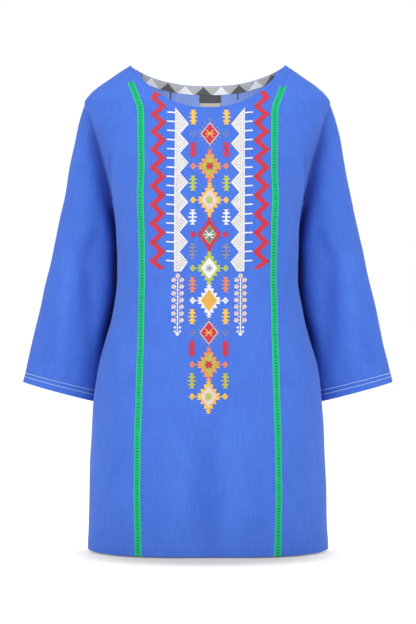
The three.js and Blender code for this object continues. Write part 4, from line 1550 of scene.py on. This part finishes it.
# A pale floor that glows as painted light: dimmer in an oval round the hem's foot, as a painted shadow under
# the hem, and bright enough further out that the floor reads white.
floor = {
    "height": -0.8085,
    "size": 60.0,
    "shadow": {"size": (0.235, 0.2, 1), "middle": (0, -0.1, 0), "from": 0.5, "to": 1.3},
    "glow": (0.08, 0.8),
    "shader": {
        "Roughness": 0.9,
        "Specular IOR Level": 0.1,
        "Base Color": (0.58, 0.553, 0.51, 1),
        "Emission Strength": 1.0,
    },
}
bpy.ops.mesh.primitive_plane_add(size=floor["size"], location=(0, 0, floor["height"]))
ground = bpy.context.object
ground.name = "floor"
groundPaint = Paint("paleFloor", **floor["shader"])


def vectorMaths(operation, *values, output=0):
    settings = {"operation": operation}
    return groundPaint.node("ShaderNodeVectorMath", settings, dict(enumerate(values)), output=output)


# the oval of the painted shadow: inside it the floor glows less
shadow = floor["shadow"]
shifted = vectorMaths("SUBTRACT", groundPaint.node("ShaderNodeTexCoord", output=3), shadow["middle"])
reach = vectorMaths("LENGTH", vectorMaths("DIVIDE", shifted, shadow["size"]), output=1)
ranges = dict(enumerate((reach, shadow["from"], shadow["to"], *floor["glow"])))
glow = groundPaint.node("ShaderNodeMapRange", {"interpolation_type": "SMOOTHSTEP"}, ranges)
grey = groundPaint.node("ShaderNodeCombineXYZ", values={0: glow, 1: glow, 2: glow})
groundPaint.set("Emission Color", grey)
ground.data.materials.append(groundPaint.material)

world = bpy.data.worlds.new("studio")
world.use_nodes = True
sky = world.node_tree  # bright behind the garment, dimmer round the front
skyParts = sky.nodes.new("ShaderNodeSeparateXYZ")
sky.links.new(sky.nodes.new("ShaderNodeTexCoord").outputs["Generated"], skyParts.inputs[0])
skyRamp = sky.nodes.new("ShaderNodeValToRGB")
skyRamp.color_ramp.interpolation = "EASE"
for element, (place, tone) in zip(skyRamp.color_ramp.elements, ((0.55, 0.4), (0.9, 1.0))):
    element.position, element.color = place, (tone, tone, tone, 1)
sky.links.new(skyParts.outputs[1], skyRamp.inputs[0])
sky.links.new(skyRamp.outputs[0], sky.nodes["Background"].inputs["Color"])
bpy.context.scene.world = world
lamps = {
    "left": {"place": (-2.5, -2.5, 0.8), "size": 1.9, "power": 47},
    "right": {"place": (2.5, -2.5, 0.8), "size": 1.9, "power": 43},
    "front": {"place": (-0.3, -3.6, 0.5), "size": 1.6, "power": 14},
    "top": {"place": (0, -0.4, 2.4), "size": 2.6, "power": 49},
}
neckLamp = {"place": (0, -0.03, -0.115), "size": 0.15, "high": 0.05, "power": 0.082}


def addLamp(name, lamp, toward):
    light = bpy.data.lights.new(name, "AREA")
    light.size, light.energy = lamp["size"], lamp["power"]
    held = bpy.data.objects.new(name, light)
    held.location = lamp["place"]
    held.rotation_euler = (Vector(toward) - Vector(lamp["place"])).to_track_quat("-Z", "Y").to_euler()
    bpy.context.scene.collection.objects.link(held)
    return held


for name, lamp in lamps.items():
    addLamp(name, lamp, (0, 0, -0.4))
held = addLamp("inside the neck", neckLamp, (0, 0.09, -0.02))
held.data.shape, held.data.size_y = "RECTANGLE", neckLamp["high"]
held.visible_camera = False

view = {"place": (0.0004, -4.1, -0.411), "frameHeight": 1.042, "sensor": 36}
lens = bpy.data.cameras.new("front view")
lens.sensor_width = view["sensor"]
lens.lens = view["sensor"] * -view["place"][1] / view["frameHeight"]
lens.clip_end = 60
camera = bpy.data.objects.new("front view", lens)
camera.location = view["place"]
camera.rotation_euler = (math.pi / 2, 0, 0)
bpy.context.scene.collection.objects.link(camera)
bpy.context.scene.camera = camera
bpy.context.scene.view_settings.view_transform = "Standard"
print("studio made")
